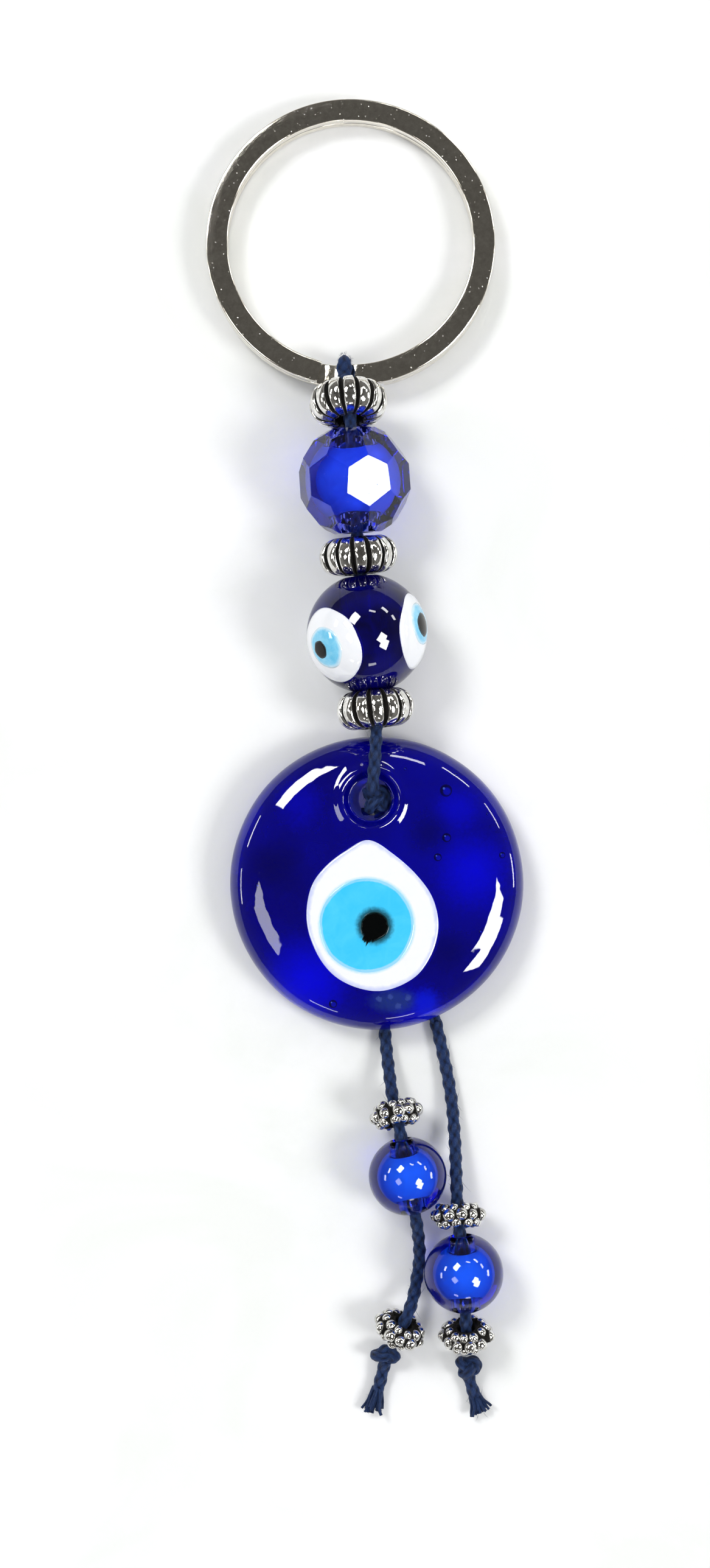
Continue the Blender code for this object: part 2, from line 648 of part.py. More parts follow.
def tails(home):
    left_joint = pivot("left_tail_pivot", (2.12, -47.9, 0.72), home)
    right_joint = pivot("right_tail_pivot", (7.4, -47.1, 0.72), home)
    hang(tube("left_tail_cord", smooth_path(LEFT_TAIL, 2.4), CORD_R, home), left_joint)
    hang(tube("right_tail_cord", smooth_path(RIGHT_TAIL, 2.4), CORD_R, home), right_joint)
    for (name, centre, sizes, turn), joint in zip(END_KNOTS, (left_joint, right_joint)):
        hang(lump(name, centre, sizes, turn, home), joint)
    hang(frayed_end("left_frayed_end", LEFT_STUB, home), left_joint)
    hang(frayed_end("right_frayed_end", RIGHT_STUB, home), right_joint)
    for name, centre, axis in SPACERS:
        spacer(name, centre, axis, home)
    for name, centre, radius, axis in TAIL_BEADS:
        tail_bead(name, centre, radius, axis, home)


def disc_cords(home):
    """The strands over and under the disc's upper rim, the knot in its hole, and the cords behind it."""
    joint = pivot("neck_pivot", (*HOLE_CENTRE, 4.0), home)
    hang(tube("cord_front_strand", smooth_path(FRONT_STRAND, 1.8), CORD_R, home), joint)
    hang(tube("cord_back_strand", smooth_path(BACK_STRAND, 1.3), BACK_STRAND_R, home), joint)
    lump("hole_knot", HOLE_KNOT, (1.6, 1.55, 1.7), 0.0, home)
    tube("cord_behind_left", smooth_path(LEFT_BEHIND, 3.0), CORD_R, home)
    tube("cord_behind_right", smooth_path(RIGHT_BEHIND, 3.0), CORD_R, home)


def main():
    clear_scene()
    parts = collection("evil_eye_charm", bpy.context.scene.collection)
    cutters = collection("cutters", bpy.context.scene.collection)
    key_ring(parts)
    ring_loop(parts)
    stem_strands(parts)
    for name, centre, tilt_deg in RONDELLES:
        rondelle(name, centre, tilt_deg, parts)
    faceted_bead(parts, cutters)
    eye_bead(parts, cutters)
    disc(parts, cutters)
    disc_cords(parts)
    tails(parts)


main()
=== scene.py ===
"""The looks of the evil-eye charm: camera, light, floor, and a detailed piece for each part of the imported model.

The charm lies along Y on a white table at z = 0, with the key ring towards +Y. Lengths are in millimetres and
become metres through MM. A cord's route is in metres, point for point as the design has it.
"""

import json
import math
import random

import bmesh
import bpy
import numpy as np
from mathutils import Matrix, Vector, noise

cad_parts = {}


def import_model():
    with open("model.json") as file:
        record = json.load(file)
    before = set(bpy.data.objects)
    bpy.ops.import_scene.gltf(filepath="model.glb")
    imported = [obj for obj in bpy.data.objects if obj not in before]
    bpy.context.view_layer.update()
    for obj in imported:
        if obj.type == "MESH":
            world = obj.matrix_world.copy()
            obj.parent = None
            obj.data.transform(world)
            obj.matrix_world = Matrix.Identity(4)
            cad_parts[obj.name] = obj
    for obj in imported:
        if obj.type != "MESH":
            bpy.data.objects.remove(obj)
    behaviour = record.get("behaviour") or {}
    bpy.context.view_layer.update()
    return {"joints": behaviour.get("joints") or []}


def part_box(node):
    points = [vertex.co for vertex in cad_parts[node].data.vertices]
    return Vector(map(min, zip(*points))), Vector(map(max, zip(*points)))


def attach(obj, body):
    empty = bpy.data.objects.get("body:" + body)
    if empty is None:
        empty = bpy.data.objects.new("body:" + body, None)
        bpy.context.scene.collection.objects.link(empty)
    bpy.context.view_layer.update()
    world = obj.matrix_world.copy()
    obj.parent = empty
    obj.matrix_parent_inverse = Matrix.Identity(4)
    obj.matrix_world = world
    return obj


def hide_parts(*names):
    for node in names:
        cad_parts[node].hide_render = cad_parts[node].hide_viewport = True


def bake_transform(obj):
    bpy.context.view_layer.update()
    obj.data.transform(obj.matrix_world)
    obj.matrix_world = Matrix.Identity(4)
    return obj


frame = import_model()
noise.seed_set(7)  # without a seed, noise_vector takes its offsets from the clock
JOINTS = {joint["name"]: joint for joint in frame["joints"]}
MM = 0.001

# Camera: straight above the charm
CAMERA_AT = (-0.945, -22.53, 300.0)
CAMERA_LENS = 66.19
CAMERA_SENSOR = 36.0

# Light
SKY = 0.60
SKY_THROUGH_GLASS = 1.10
SKY_COLOUR = (0.97, 0.985, 1.0, 1.0)
# Lamps: name, azimuth and polar angle in degrees, width and height in metres, power in watts
LAMPS = [("window_left", 135, 38, 0.30, 0.26, 4.1), ("window_right", -20, 44, 0.30, 0.28, 3.8)]

# Cord
CORD_R = 0.68
LOOP_R = 0.45  # the loop is squeezed flat round the ring
LOOP_FLATTEN = 1.85
STRAND_OFFSET = 0.72  # the two strands lie one above the other in the bores
BRAID_STRANDS = 4  # strands that run each way round
BRAID_PITCH = 1.55  # length along the cord that one strand takes to pass the next

STEM_PATH = [
    (-0.00198, 0.01795, 0.00572), (-0.00166, 0.01622, 0.00628), (-0.00142, 0.0143, 0.00664),
    (-0.0013, 0.0125, 0.0065), (-0.00098, 0.00846, 0.0062), (-0.00075, 0.0036, 0.00588),
    (-0.00063, 0.00076, 0.00598), (-0.00025, -0.0028, 0.0062), (0.0002, -0.00721, 0.0063),
    (0.00068, -0.0116, 0.00625), (0.0011, -0.01477, 0.00612), (0.00125, -0.0165, 0.006),
]
FRONT_STRAND = [
    (0.00086, -0.02275, 0.00662), (0.00095, -0.0216, 0.00675), (0.0011, -0.0196, 0.00674),
    (0.0012, -0.0177, 0.00668),
]
BACK_STRAND = [
    (0.0013, -0.01728, 0.00475), (0.0013, -0.0172, 0.0041), (0.0013, -0.01706, 0.0033),
    (0.0013, -0.01702, 0.0026), (0.0013, -0.01712, 0.0018), (0.00125, -0.0176, 0.00105),
    (0.0012, -0.0186, 0.00072), (0.0011, -0.0205, 0.00072), (0.001, -0.0229, 0.00072),
]
BACK_STRAND_R = 0.42
FIBRE_FLOOR = 0.03  # stray fibres stay above the table
YARN_FLOOR = 0.16
LEFT_BEHIND = [
    (-0.0001, -0.025, 0.00072), (0.0002, -0.032, 0.00072), (0.0011, -0.04, 0.00072),
    (0.00205, -0.0475, 0.00072),
]
RIGHT_BEHIND = [
    (0.00155, -0.025, 0.00072), (0.0033, -0.032, 0.00072), (0.0054, -0.04, 0.00072),
    (0.0073, -0.04675, 0.00072),
]
# The loop round the ring's wire lies in the plane x = LOOP_X: (y, z)
LOOP_X = -0.00204
LOOP_ROUTE = [
    (0.0185, 0.00585), (0.01895, 0.0052), (0.0197, 0.00455), (0.0206, 0.0044), (0.02106, 0.004),
    (0.02117, 0.0034), (0.02117, 0.0024), (0.02115, 0.0015), (0.02095, 0.00085), (0.0204, 0.0006),
    (0.0195, 0.00057), (0.0185, 0.00059), (0.01797, 0.00085), (0.01778, 0.0015), (0.01776, 0.0025),
    (0.01779, 0.0033), (0.01784, 0.00395), (0.018, 0.0046), (0.0182, 0.005),
]
LEFT_TAIL = [
    (0.00216, -0.0483, 0.00075), (0.00243, -0.05107, 0.0015), (0.00292, -0.05473, 0.0031),
    (0.0033, -0.05645, 0.0036), (0.00372, -0.05845, 0.00397), (0.00446, -0.06278, 0.00407),
    (0.00525, -0.0669, 0.0039), (0.0056, -0.0692, 0.0029), (0.00572, -0.0714, 0.0021),
    (0.0055, -0.0734, 0.00175), (0.0051, -0.0754, 0.0024), (0.0045, -0.0771, 0.0032),
    (0.00372, -0.07875, 0.0029), (0.00295, -0.0802, 0.00225),
]
RIGHT_TAIL = [
    (0.0075, -0.0475, 0.00075), (0.00818, -0.05045, 0.0008), (0.00881, -0.0536, 0.00095),
    (0.00917, -0.0563, 0.0013), (0.0094, -0.0598, 0.0021), (0.0095, -0.06346, 0.0032),
    (0.00962, -0.06686, 0.00375), (0.00985, -0.069, 0.0041), (0.01022, -0.07275, 0.00417),
    (0.0104, -0.0768, 0.0039), (0.01055, -0.07924, 0.0031), (0.01065, -0.0812, 0.0023),
]
LEFT_STUB = [
    (0.0021, -0.08275, 0.0012), (0.0017, -0.0844, 0.00085), (0.00125, -0.0863, 0.00085),
    (0.00095, -0.0879, 0.001),
]
RIGHT_STUB = [(0.01095, -0.0843, 0.0011), (0.0115, -0.086, 0.0009), (0.0123, -0.088, 0.001)]


# ---------------------------------------------------------------- camera, light and floor


def aim(obj, target):
    """Turns a lamp or camera so that it looks at target."""
    obj.rotation_euler = (Vector(target) - obj.location).to_track_quat("-Z", "Y").to_euler()


def new_object(name, data):
    obj = bpy.data.objects.new(name, data)
    bpy.context.scene.collection.objects.link(obj)
    return obj


def camera():
    data = bpy.data.cameras.new("camera")
    data.lens = CAMERA_LENS
    data.sensor_width = CAMERA_SENSOR
    data.clip_start = 0.01
    data.clip_end = 10.0
    obj = new_object("camera", data)
    obj.location = Vector(CAMERA_AT) * MM
    bpy.context.scene.camera = obj


def heading(azimuth_deg, polar_deg):
    """Unit vector polar_deg away from straight up, towards azimuth_deg as seen from above."""
    azimuth, polar = math.radians(azimuth_deg), math.radians(polar_deg)
    return Vector((math.sin(polar) * math.cos(azimuth), math.sin(polar) * math.sin(azimuth), math.cos(polar)))


def soft_box(name, azimuth_deg, polar_deg, width, height, energy):
    """A lamp a metre away that lights the charm and casts its shadow; what mirrors it is a window of the room."""
    data = bpy.data.lights.new(name, "AREA")
    data.shape = "RECTANGLE"
    data.size = width
    data.size_y = height
    data.energy = energy
    obj = new_object(name, data)
    centre = Vector((0.0, -0.02, 0.0))
    obj.location = centre + heading(azimuth_deg, polar_deg)
    aim(obj, centre)
    obj.visible_glossy = False


# The room's windows as glass and metal mirror them: azimuth, polar angle, width and height in degrees, roll,
# brightness
WINDOWS = [
    (129, 36, 19, 14, 12, 30.0), (-31, 42, 17, 15, 8, 30.0), (-20, 33.5, 17, 14, -10, 30.0),
    (200, 29.5, 16, 14, 20, 8.0), (160, 61, 12, 5, 0, 20.0), (75, 43, 11, 4, 0, 16.0), (52, 57, 13, 5, 0, 20.0),
    (28, 61, 11, 5, 0, 18.0), (4, 74, 14, 7, 0, 18.0), (182, 70, 13, 6, 0, 14.0), (-112, 62, 10, 5, 0, 9.0),
    (-80, 66, 11, 5, 0, 9.0),
]
ROOM_TONES = [(0.0, 0.16), (0.30, 0.20), (0.55, 0.16), (0.74, 0.11), (0.90, 0.095), (1.0, 0.09)]


def new_node(tree, kind, *sources, **settings):
    """A node with its settings; each source, a value or another node's output, goes to the input in its place."""
    made = tree.nodes.new(kind)
    for key, value in settings.items():
        setattr(made, key, value)
    for socket, source in zip(made.inputs, sources):
        if isinstance(source, bpy.types.NodeSocket):
            tree.links.new(source, socket)
        else:
            socket.default_value = source
    return made


def math_out(tree, operation, *sources):
    return new_node(tree, "ShaderNodeMath", *sources, operation=operation).outputs[0]


def window_mask(tree, direction, azimuth, polar, width, height, roll):
    """A node output that is 1 where a direction falls inside a window, with edges a little soft."""
    middle = heading(azimuth, polar)
    turn = Matrix.Rotation(math.radians(roll), 3, middle)
    across = turn @ Vector((0.0, 0.0, 1.0)).cross(middle).normalized()
    up = middle.cross(across)

    def facing(vector):
        return new_node(tree, "ShaderNodeVectorMath", direction, vector, operation="DOT_PRODUCT").outputs["Value"]

    ahead = math_out(tree, "MAXIMUM", facing(middle), 0.05)
    masks = []
    for vector, size in ((across, width), (up, height)):
        away = math_out(tree, "ABSOLUTE", math_out(tree, "DIVIDE", facing(vector), ahead))
        edge = math.tan(math.radians(size / 2))
        soft = new_node(tree, "ShaderNodeMapRange", away, edge * 1.04, edge * 0.96,
                        interpolation_type="SMOOTHSTEP")
        masks.append(soft.outputs[0])
    return math_out(tree, "MULTIPLY", *masks)


def world():
    """A soft even sky for matt surfaces, and a room with windows for what mirrors it."""
    made = bpy.data.worlds.new("studio")
    bpy.context.scene.world = made
    made.use_nodes = True
    tree = made.node_tree
    tree.nodes.clear()
    rays = new_node(tree, "ShaderNodeLightPath")
    # What lies behind glass gets no light from the lamps, so the sky that glass lets through is brighter
    level = new_node(tree, "ShaderNodeMapRange", rays.outputs["Is Transmission Ray"])
    level.inputs["To Min"].default_value = SKY
    level.inputs["To Max"].default_value = SKY_THROUGH_GLASS
    sky = new_node(tree, "ShaderNodeBackground", SKY_COLOUR, level.outputs[0])
    direction = new_node(tree, "ShaderNodeTexCoord").outputs["Generated"]
    split = new_node(tree, "ShaderNodeSeparateXYZ", direction)
    ramp = new_node(tree, "ShaderNodeValToRGB", split.outputs["Z"])
    for k, (place, tone) in enumerate(ROOM_TONES):
        stop = ramp.color_ramp.elements[k] if k < 2 else ramp.color_ramp.elements.new(place)
        stop.position = place
        stop.color = (tone, tone * 0.97, tone * 0.92, 1.0)
    total = None
    for *window, bright in WINDOWS:
        lit = math_out(tree, "MULTIPLY", window_mask(tree, direction, *window), bright)
        total = lit if total is None else math_out(tree, "MAXIMUM", total, lit)
    add = new_node(tree, "ShaderNodeVectorMath", ramp.outputs[0], total, operation="ADD")
    room = new_node(tree, "ShaderNodeBackground", add.outputs[0])
    mix = new_node(tree, "ShaderNodeMixShader", rays.outputs["Is Glossy Ray"], sky.outputs[0], room.outputs[0])
    new_node(tree, "ShaderNodeOutputWorld", mix.outputs[0])


def lights():
    for lamp in LAMPS:
        soft_box(*lamp)
    world()
    settings = bpy.context.scene.view_settings
    settings.view_transform = "Standard"
    settings.look = "None"
    settings.exposure = 0.0


def floor():
    bm = bmesh.new()
    bmesh.ops.create_grid(bm, x_segments=1, y_segments=1, size=2.0)
    mesh = bpy.data.meshes.new("table")
    bm.to_mesh(mesh)
    bm.free()
    obj = new_object("table", mesh)
    look = Look("table_white")
    # Painted shade: the soft darker patches in the table's colour stand in for the shade of cloth wrinkles; the table
    # itself is flat.
    wrinkle_shade = look.noise(0.028, detail=4.0, roughness=0.6, distortion=0.8)
    look.set("Base Color", look.ramp(wrinkle_shade, [(0.35, (0.85, 0.862, 0.835)), (0.62, (0.93, 0.93, 0.935))]))
    look.value("Roughness", 0.75)
    look.value("Specular IOR Level", 0.15)
    mesh.materials.append(look.material)


# ---------------------------------------------------------------- material building

ACRYLIC_IOR = 1.49
NICK_ROUGHNESS = 0.16
COBALT_IOR = 1.46
GROOVE_BLACK = (0.010, 0.009, 0.008)


class Look:
    """A procedural material: a Principled shader and the nodes that feed it, in millimetres at rest."""

    def __init__(self, name):
        self.material = bpy.data.materials.new(name)
        self.material.use_nodes = True
        self.tree = self.material.node_tree
        self.shader = self.tree.nodes["Principled BSDF"]
        self.out = self.tree.nodes["Material Output"]
        self.place = self.object_place()

    def node(self, kind, *sources, **settings):
        return new_node(self.tree, kind, *sources, **settings)

    def link(self, source, target):
        self.tree.links.new(source, target)

    def object_place(self):
        """Object coordinates in millimetres."""
        coords = self.node("ShaderNodeTexCoord")
        scaled = self.node("ShaderNodeVectorMath", operation="SCALE")
        scaled.inputs["Scale"].default_value = 1.0 / MM
        self.link(coords.outputs["Object"], scaled.inputs[0])
        return scaled.outputs[0]

    def attribute(self, name, vector=False):
        node = self.node("ShaderNodeAttribute", attribute_name=name)
        return node.outputs["Vector" if vector else "Fac"]

    def value(self, socket, value):
        self.shader.inputs[socket].default_value = value

    def set(self, socket, source):
        self.link(source, self.shader.inputs[socket])

    def stretch(self, vector, scale):
        return self.node("ShaderNodeVectorMath", vector, scale, operation="MULTIPLY").outputs[0]

    def noise(self, scale, detail=2.0, roughness=0.5, at=None, distortion=0.0):
        node = self.node("ShaderNodeTexNoise")
        node.inputs["Scale"].default_value = scale
        node.inputs["Detail"].default_value = detail
        node.inputs["Roughness"].default_value = roughness
        node.inputs["Distortion"].default_value = distortion
        self.link(at or self.place, node.inputs["Vector"])
        return node.outputs["Fac"]

    def cells(self, scale, feature="F1"):
        node = self.node("ShaderNodeTexVoronoi", feature=feature)
        node.inputs["Scale"].default_value = scale
        self.link(self.place, node.inputs["Vector"])
        return node.outputs["Distance"]

    def ramp(self, source, stops):
        node = self.node("ShaderNodeValToRGB")
        elements = node.color_ramp.elements
        for k, (position, colour) in enumerate(stops):
            element = elements[k] if k < 2 else elements.new(position)
            element.position = position
            element.color = (*colour, 1.0) if isinstance(colour, tuple) else (colour, colour, colour, 1.0)
        self.link(source, node.inputs[0])
        return node.outputs[0]

    def mix(self, share, a, b):
        """Mixes two colours or sources; each may be a tuple or a socket."""
        node = self.node("ShaderNodeMix", data_type="RGBA")
        for socket, source in ((node.inputs[0], share), (node.inputs[6], a), (node.inputs[7], b)):
            if isinstance(source, (int, float)):
                socket.default_value = source
            elif isinstance(source, tuple):
                socket.default_value = (*source, 1.0)
            else:
                self.link(source, socket)
        return node.outputs[2]

    def math(self, operation, a, b):
        return math_out(self.tree, operation, a, b)

    def bump(self, source, strength, depth, before=None):
        """Bump of depth millimetres; before is an earlier bump's normal."""
        node = self.node("ShaderNodeBump")
        node.inputs["Strength"].default_value = strength
        node.inputs["Distance"].default_value = depth * MM
        self.link(source, node.inputs["Height"])
        if before:
            self.link(before, node.inputs["Normal"])
        return node.outputs[0]

    def absorb(self, red, green, blue):
        """Colours the light that passes through: each value is what a millimetre takes away, as a rate."""
        most = max(red, green, blue) * 1.001
        volume = self.node("ShaderNodeVolumeAbsorption")
        volume.inputs["Color"].default_value = (1 - red / most, 1 - green / most, 1 - blue / most, 1.0)
        volume.inputs["Density"].default_value = most / MM
        self.link(volume.outputs[0], self.out.inputs["Volume"])


def steel_look():
    look = Look("nickel_plated_steel")
    flow = look.attribute("flow", vector=True)
    mottle = look.noise(1.4, detail=5.0, roughness=0.65)
    tone = look.ramp(mottle, [(0.3, (0.74, 0.70, 0.62)), (0.7, (0.94, 0.90, 0.81))])
    specks = look.ramp(look.cells(2.0), [(0.08, 1.0), (0.14, 0.0)])
    rare = look.ramp(look.noise(0.9, detail=3.0, roughness=0.7), [(0.50, 0.0), (0.56, 1.0)])
    speck = look.math("MULTIPLY", specks, rare)
    look.set("Base Color", look.mix(speck, tone, (0.95, 0.94, 0.90)))
    scratch = look.noise(1.0, detail=4.0, roughness=0.7, at=look.stretch(flow, (0.30, 13.0, 13.0)))
    cross = look.noise(1.0, detail=3.0, roughness=0.6, at=look.stretch(flow, (4.0, 1.5, 2.0)))
    rough = look.ramp(scratch, [(0.35, 0.05), (0.70, 0.13)])
    look.set("Roughness", look.math("ADD", rough, look.math("MULTIPLY", speck, 0.35)))
    normal = look.bump(scratch, 0.10, 0.02)
    normal = look.bump(cross, 0.10, 0.04, normal)
    look.set("Normal", look.bump(speck, 1.0, 0.10, normal))
    look.value("Metallic", 1.0)
    return look.material


def silver_look(name, black_to=0.42, tones=((0.60, 0.58, 0.54), (0.90, 0.89, 0.86))):
    look = Look(name)
    depth = look.attribute("depth")
    mottle = look.noise(1.5, detail=5.0, roughness=0.6)
    fine = look.noise(6.0, detail=3.0)
    silver = look.ramp(mottle, [(0.35, tones[0]), (0.62, tones[1])])
    stain = look.ramp(look.noise(1.7, detail=5.0, roughness=0.75), [(0.56, 0.0), (0.68, 0.75)])
    silver = look.mix(stain, silver, (0.17, 0.155, 0.125))
    edge = look.math("ADD", depth, look.math("MULTIPLY", look.math("SUBTRACT", fine, 0.5), 0.25))
    black = look.ramp(edge, [(black_to - 0.14, 1.0), (black_to + 0.06, 0.0)])
    look.set("Base Color", look.mix(black, silver, GROOVE_BLACK))
    look.set("Metallic", look.ramp(black, [(0.3, 1.0), (0.9, 0.0)]))
    look.set("Roughness", look.mix(black, look.ramp(mottle, [(0.3, 0.04), (0.7, 0.10)]), (0.85, 0.85, 0.85)))
    look.value("Specular IOR Level", 0.15)
    normal = look.bump(look.cells(1.1, feature="SMOOTH_F1"), 0.09, 0.10)
    look.set("Normal", look.bump(fine, 0.06, 0.02, normal))
    return look.material


def cord_look():
    look = Look("waxed_navy_cord")
    flow = look.attribute("flow", vector=True)
    height = look.attribute("depth")
    fibres = look.noise(1.0, detail=4.0, roughness=0.75, at=look.stretch(flow, (3.0, 24.0, 1.0)))
    patches = look.noise(1.3, detail=3.0)
    navy = look.mix(patches, (0.0045, 0.014, 0.058), (0.012, 0.036, 0.125))
    # Painted highlight: the strands' raised crowns, where the fibres line up, get a lighter blue.
    lit = look.math("MULTIPLY", look.ramp(fibres, [(0.50, 0.0), (0.68, 1.0)]),
                    look.ramp(height, [(0.45, 0.0), (0.95, 1.0)]))
    navy_and_highlight = look.mix(lit, navy, (0.070, 0.130, 0.32))
    # Painted shade: the colour goes nearly black in the low gaps between the braid's strands.
    gap = look.ramp(height, [(0.25, 0.95), (0.68, 0.0)])
    look.set("Base Color", look.mix(gap, navy_and_highlight, (0.0015, 0.003, 0.012)))
    look.set("Roughness", look.ramp(fibres, [(0.3, 0.55), (0.75, 0.33)]))
    look.value("Sheen Weight", 0.05)
    look.value("Sheen Roughness", 0.45)
    look.value("Sheen Tint", (0.55, 0.65, 0.95, 1.0))
    look.value("Specular IOR Level", 0.22)
    look.set("Normal", look.bump(fibres, 0.9, 0.12))
    return look.material


def glass_look(name, rates):
    """Clear cast acrylic that takes colour with depth, with a few fine scratches on its face."""
    look = Look(name)
    look.value("Base Color", (1.0, 1.0, 1.0, 1.0))
    look.value("Transmission Weight", 1.0)
    look.value("IOR", ACRYLIC_IOR)
    nicks = look.ramp(look.noise(2.6, detail=4.0, roughness=0.7), [(0.66, 0.0), (0.72, 1.0)])
    look.set("Roughness", look.math("MULTIPLY", nicks, NICK_ROUGHNESS))
    look.set("Normal", look.bump(nicks, 0.25, 0.03))
    look.absorb(*rates)
    return look.material


def cobalt_look(name, deep, bright, clear, rates, patch_scale=0.10, painted_rim_tone=(0.004, 0.003, 0.26)):
    """Deep cobalt glass: part of the light passes through, and the rest glows back out of its depth."""
    look = Look(name)
    patches = look.noise(patch_scale, detail=2.5, roughness=0.5, distortion=0.5)
    streaks = look.noise(0.55, detail=3.0, distortion=0.8)
    body = look.mix(look.ramp(patches, [(0.38, 0.0), (0.68, 1.0)]), deep, bright)
    body = look.mix(look.ramp(streaks, [(0.50, 0.0), (0.72, 0.35)]), body, bright)
    # Painted reflection: where the surface turns away towards the outline, the colour moves to the rim tone, which
    # stands in for the floor mirrored in the rim.
    weight = look.node("ShaderNodeLayerWeight")
    weight.inputs["Blend"].default_value = 0.35
    body = look.mix(look.ramp(weight.outputs["Facing"], [(0.55, 0.0), (0.98, 0.9)]), body, painted_rim_tone)
    look.set("Base Color", body)
    look.base = body
    look.value("Transmission Weight", clear)
    look.value("IOR", COBALT_IOR)
    look.set("Roughness", look.ramp(look.noise(1.2, detail=3.0), [(0.50, 0.0), (0.85, 0.05)]))
    look.set("Normal", look.bump(look.noise(0.35, detail=2.0), 0.12, 0.25))
    look.absorb(*rates)
    return look


def enamel_look(name, light, dark, scale=0.8, mottled=0.4, edge=(0.0, 0.0, 0.0), edge_from=0.85, shine=0.5):
    """Opaque melted glass with a slightly uneven colour, and another colour that it bleeds to at its edge."""
    look = Look(name)
    swirl = look.noise(scale, detail=4.0, roughness=0.6, distortion=0.6)
    spots = look.ramp(look.cells(1.9), [(0.0, 1.0), (0.10, 0.0)])
    base = look.mix(look.ramp(swirl, [(0.35, 0.0), (0.75, mottled)]), light, dark)
    base = look.mix(look.math("MULTIPLY", spots, 0.15), base, dark)
    waver = look.math("MULTIPLY", look.math("SUBTRACT", swirl, 0.5), 0.12)
    reach = look.math("ADD", look.attribute("depth"), waver)
    base = look.mix(look.ramp(reach, [(edge_from, 0.0), (1.0, 1.0)]), base, edge)
    look.set("Base Color", base)
    look.set("Roughness", look.ramp(swirl, [(0.3, 0.04), (0.8, 0.12)]))
    look.value("Coat Weight", shine)
    look.value("Specular IOR Level", 0.25 + shine * 0.5)
    look.value("Coat Roughness", 0.03)
    look.value("Subsurface Weight", 0.08)
    look.value("Subsurface Radius", (0.0012, 0.0010, 0.0009))
    look.set("Normal", look.bump(look.noise(0.5, detail=2.0), 0.3, 0.12))
    look.base = base
    return look


def stain_and_painted_light_near(look, centre, inner, outer, colour, ragged=0.5, strength=1.0, squeeze=1.0):
    """Adds a colour that fades outwards round a place on the disc, from inner to outer millimetres away: the glass's
    own colour runs, and also painted light and painted shade.
    """
    flat = look.stretch(look.place, (1.0, squeeze, 0.0))
    away = look.node("ShaderNodeVectorMath", flat, (centre[0], centre[1] * squeeze, 0.0), operation="DISTANCE")
    rough = look.math("SUBTRACT", look.noise(2.6, detail=4.0, roughness=0.65), 0.5)
    reach = look.math("ADD", away.outputs["Value"], look.math("MULTIPLY", rough, ragged))
    share = look.node("ShaderNodeMapRange", reach, outer, inner, 0.0, strength, interpolation_type="SMOOTHSTEP")
    look.base = look.mix(share.outputs[0], look.base, colour)
    look.set("Base Color", look.base)


def disc_painted_light_and_marks(look):
    """Painted light and shade in the disc's glass, and its marks: brighter patches painted where light comes through,
    darker ones painted as shade round the white, the cloudy run under the white, the hole's wall painted a brighter
    blue, and the bubbles, each with a painted dark outline, a brighter middle and a painted glint.
    """
    # Painted light: brighter blue patches where light comes up through the glass.
    for x, y, reach, strength in ((-5.6, -42.6, 6.0, 0.95), (11.0, -31.5, 5.5, 0.8), (5.5, -46.0, 4.0, 0.6),
                                  (9.5, -25.0, 3.0, 0.5), (-6.5, -24.5, 3.5, 0.4)):
        stain_and_painted_light_near(look, (x, y), 0.2, reach, (0.001, 0.001, 1.0), ragged=2.6, strength=strength)
    # Painted shade: darker patches round the white.
    for x, y, reach, strength in ((-9.0, -31.0, 4.5, 0.6), (6.5, -27.5, 3.2, 0.6), (8.5, -39.5, 3.2, 0.6)):
        stain_and_painted_light_near(look, (x, y), 0.2, reach, (0.001, 0.000, 0.11), ragged=2.0, strength=strength)
    stain_and_painted_light_near(look, (3.1, -44.7), 0.9, 3.3, (0.026, 0.062, 0.36), ragged=2.2, strength=0.9, squeeze=2.0)
    for x, y in ((1.5, -44.5), (2.7, -44.2), (3.5, -45.2), (4.5, -44.4)):
        stain_and_painted_light_near(look, (x, y), 0.10, 0.42, (0.08, 0.14, 0.55), ragged=0.6, strength=0.8)
    stain_and_painted_light_near(look, (6.3, -45.0), 0.5, 1.7, (0.002, 0.012, 1.0), ragged=1.0, strength=0.95, squeeze=0.8)
    # Painted light: the hole's wall gets a brighter blue for the light that passes through the glass there.
    stain_and_painted_light_near(look, disc_facts()[3], HOLE_R - 0.25, HOLE_R + 0.05, (0.010, 0.040, 0.80), ragged=0.1,
               strength=0.9)
    for x, y, r in BUBBLES:
        # Each bubble gets a painted dark outline as its shade, a brighter middle and a small painted glint at its
        # upper left.
        stain_and_painted_light_near(look, (x, y), r * 0.92, r * 1.10, (0.001, 0.000, 0.05), ragged=0.06, strength=0.9)
        stain_and_painted_light_near(look, (x + r * 0.15, y - r * 0.12), r * 0.45, r * 0.80, (0.004, 0.006, 0.62), ragged=0.1,
                   strength=0.9)
        stain_and_painted_light_near(look, (x - r * 0.35, y + r * 0.35), r * 0.10, r * 0.26, (0.10, 0.20, 0.95), ragged=0.05)


def core_look(name, deep, light):
    look = Look(name)
    cloud = look.noise(0.7, detail=3.0, distortion=0.4)
    look.set("Base Color", look.mix(cloud, deep, light))
    look.set("Roughness", look.ramp(cloud, [(0.3, 0.42), (0.7, 0.54)]))
    look.value("Specular IOR Level", 0.08)
    look.set("Normal", look.bump(look.noise(1.1, detail=2.0), 0.2, 0.06))
    return look.material


# ---------------------------------------------------------------- mesh helpers


def axis_turn(direction):
    """Rotation that takes Z onto direction."""
    return Vector(direction).normalized().to_track_quat("Z", "Y").to_matrix().to_4x4()


def seat(centre, direction, spin_deg=0.0):
    """Matrix from a piece's own millimetres, with Z along its axis, to its place in the frame."""
    spin = Matrix.Rotation(math.radians(spin_deg), 4, "Z")
    return Matrix.Translation(centre) @ axis_turn(direction) @ spin @ Matrix.Scale(MM, 4)


def middle_of(node):
    low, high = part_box(node)
    return (low + high) / 2


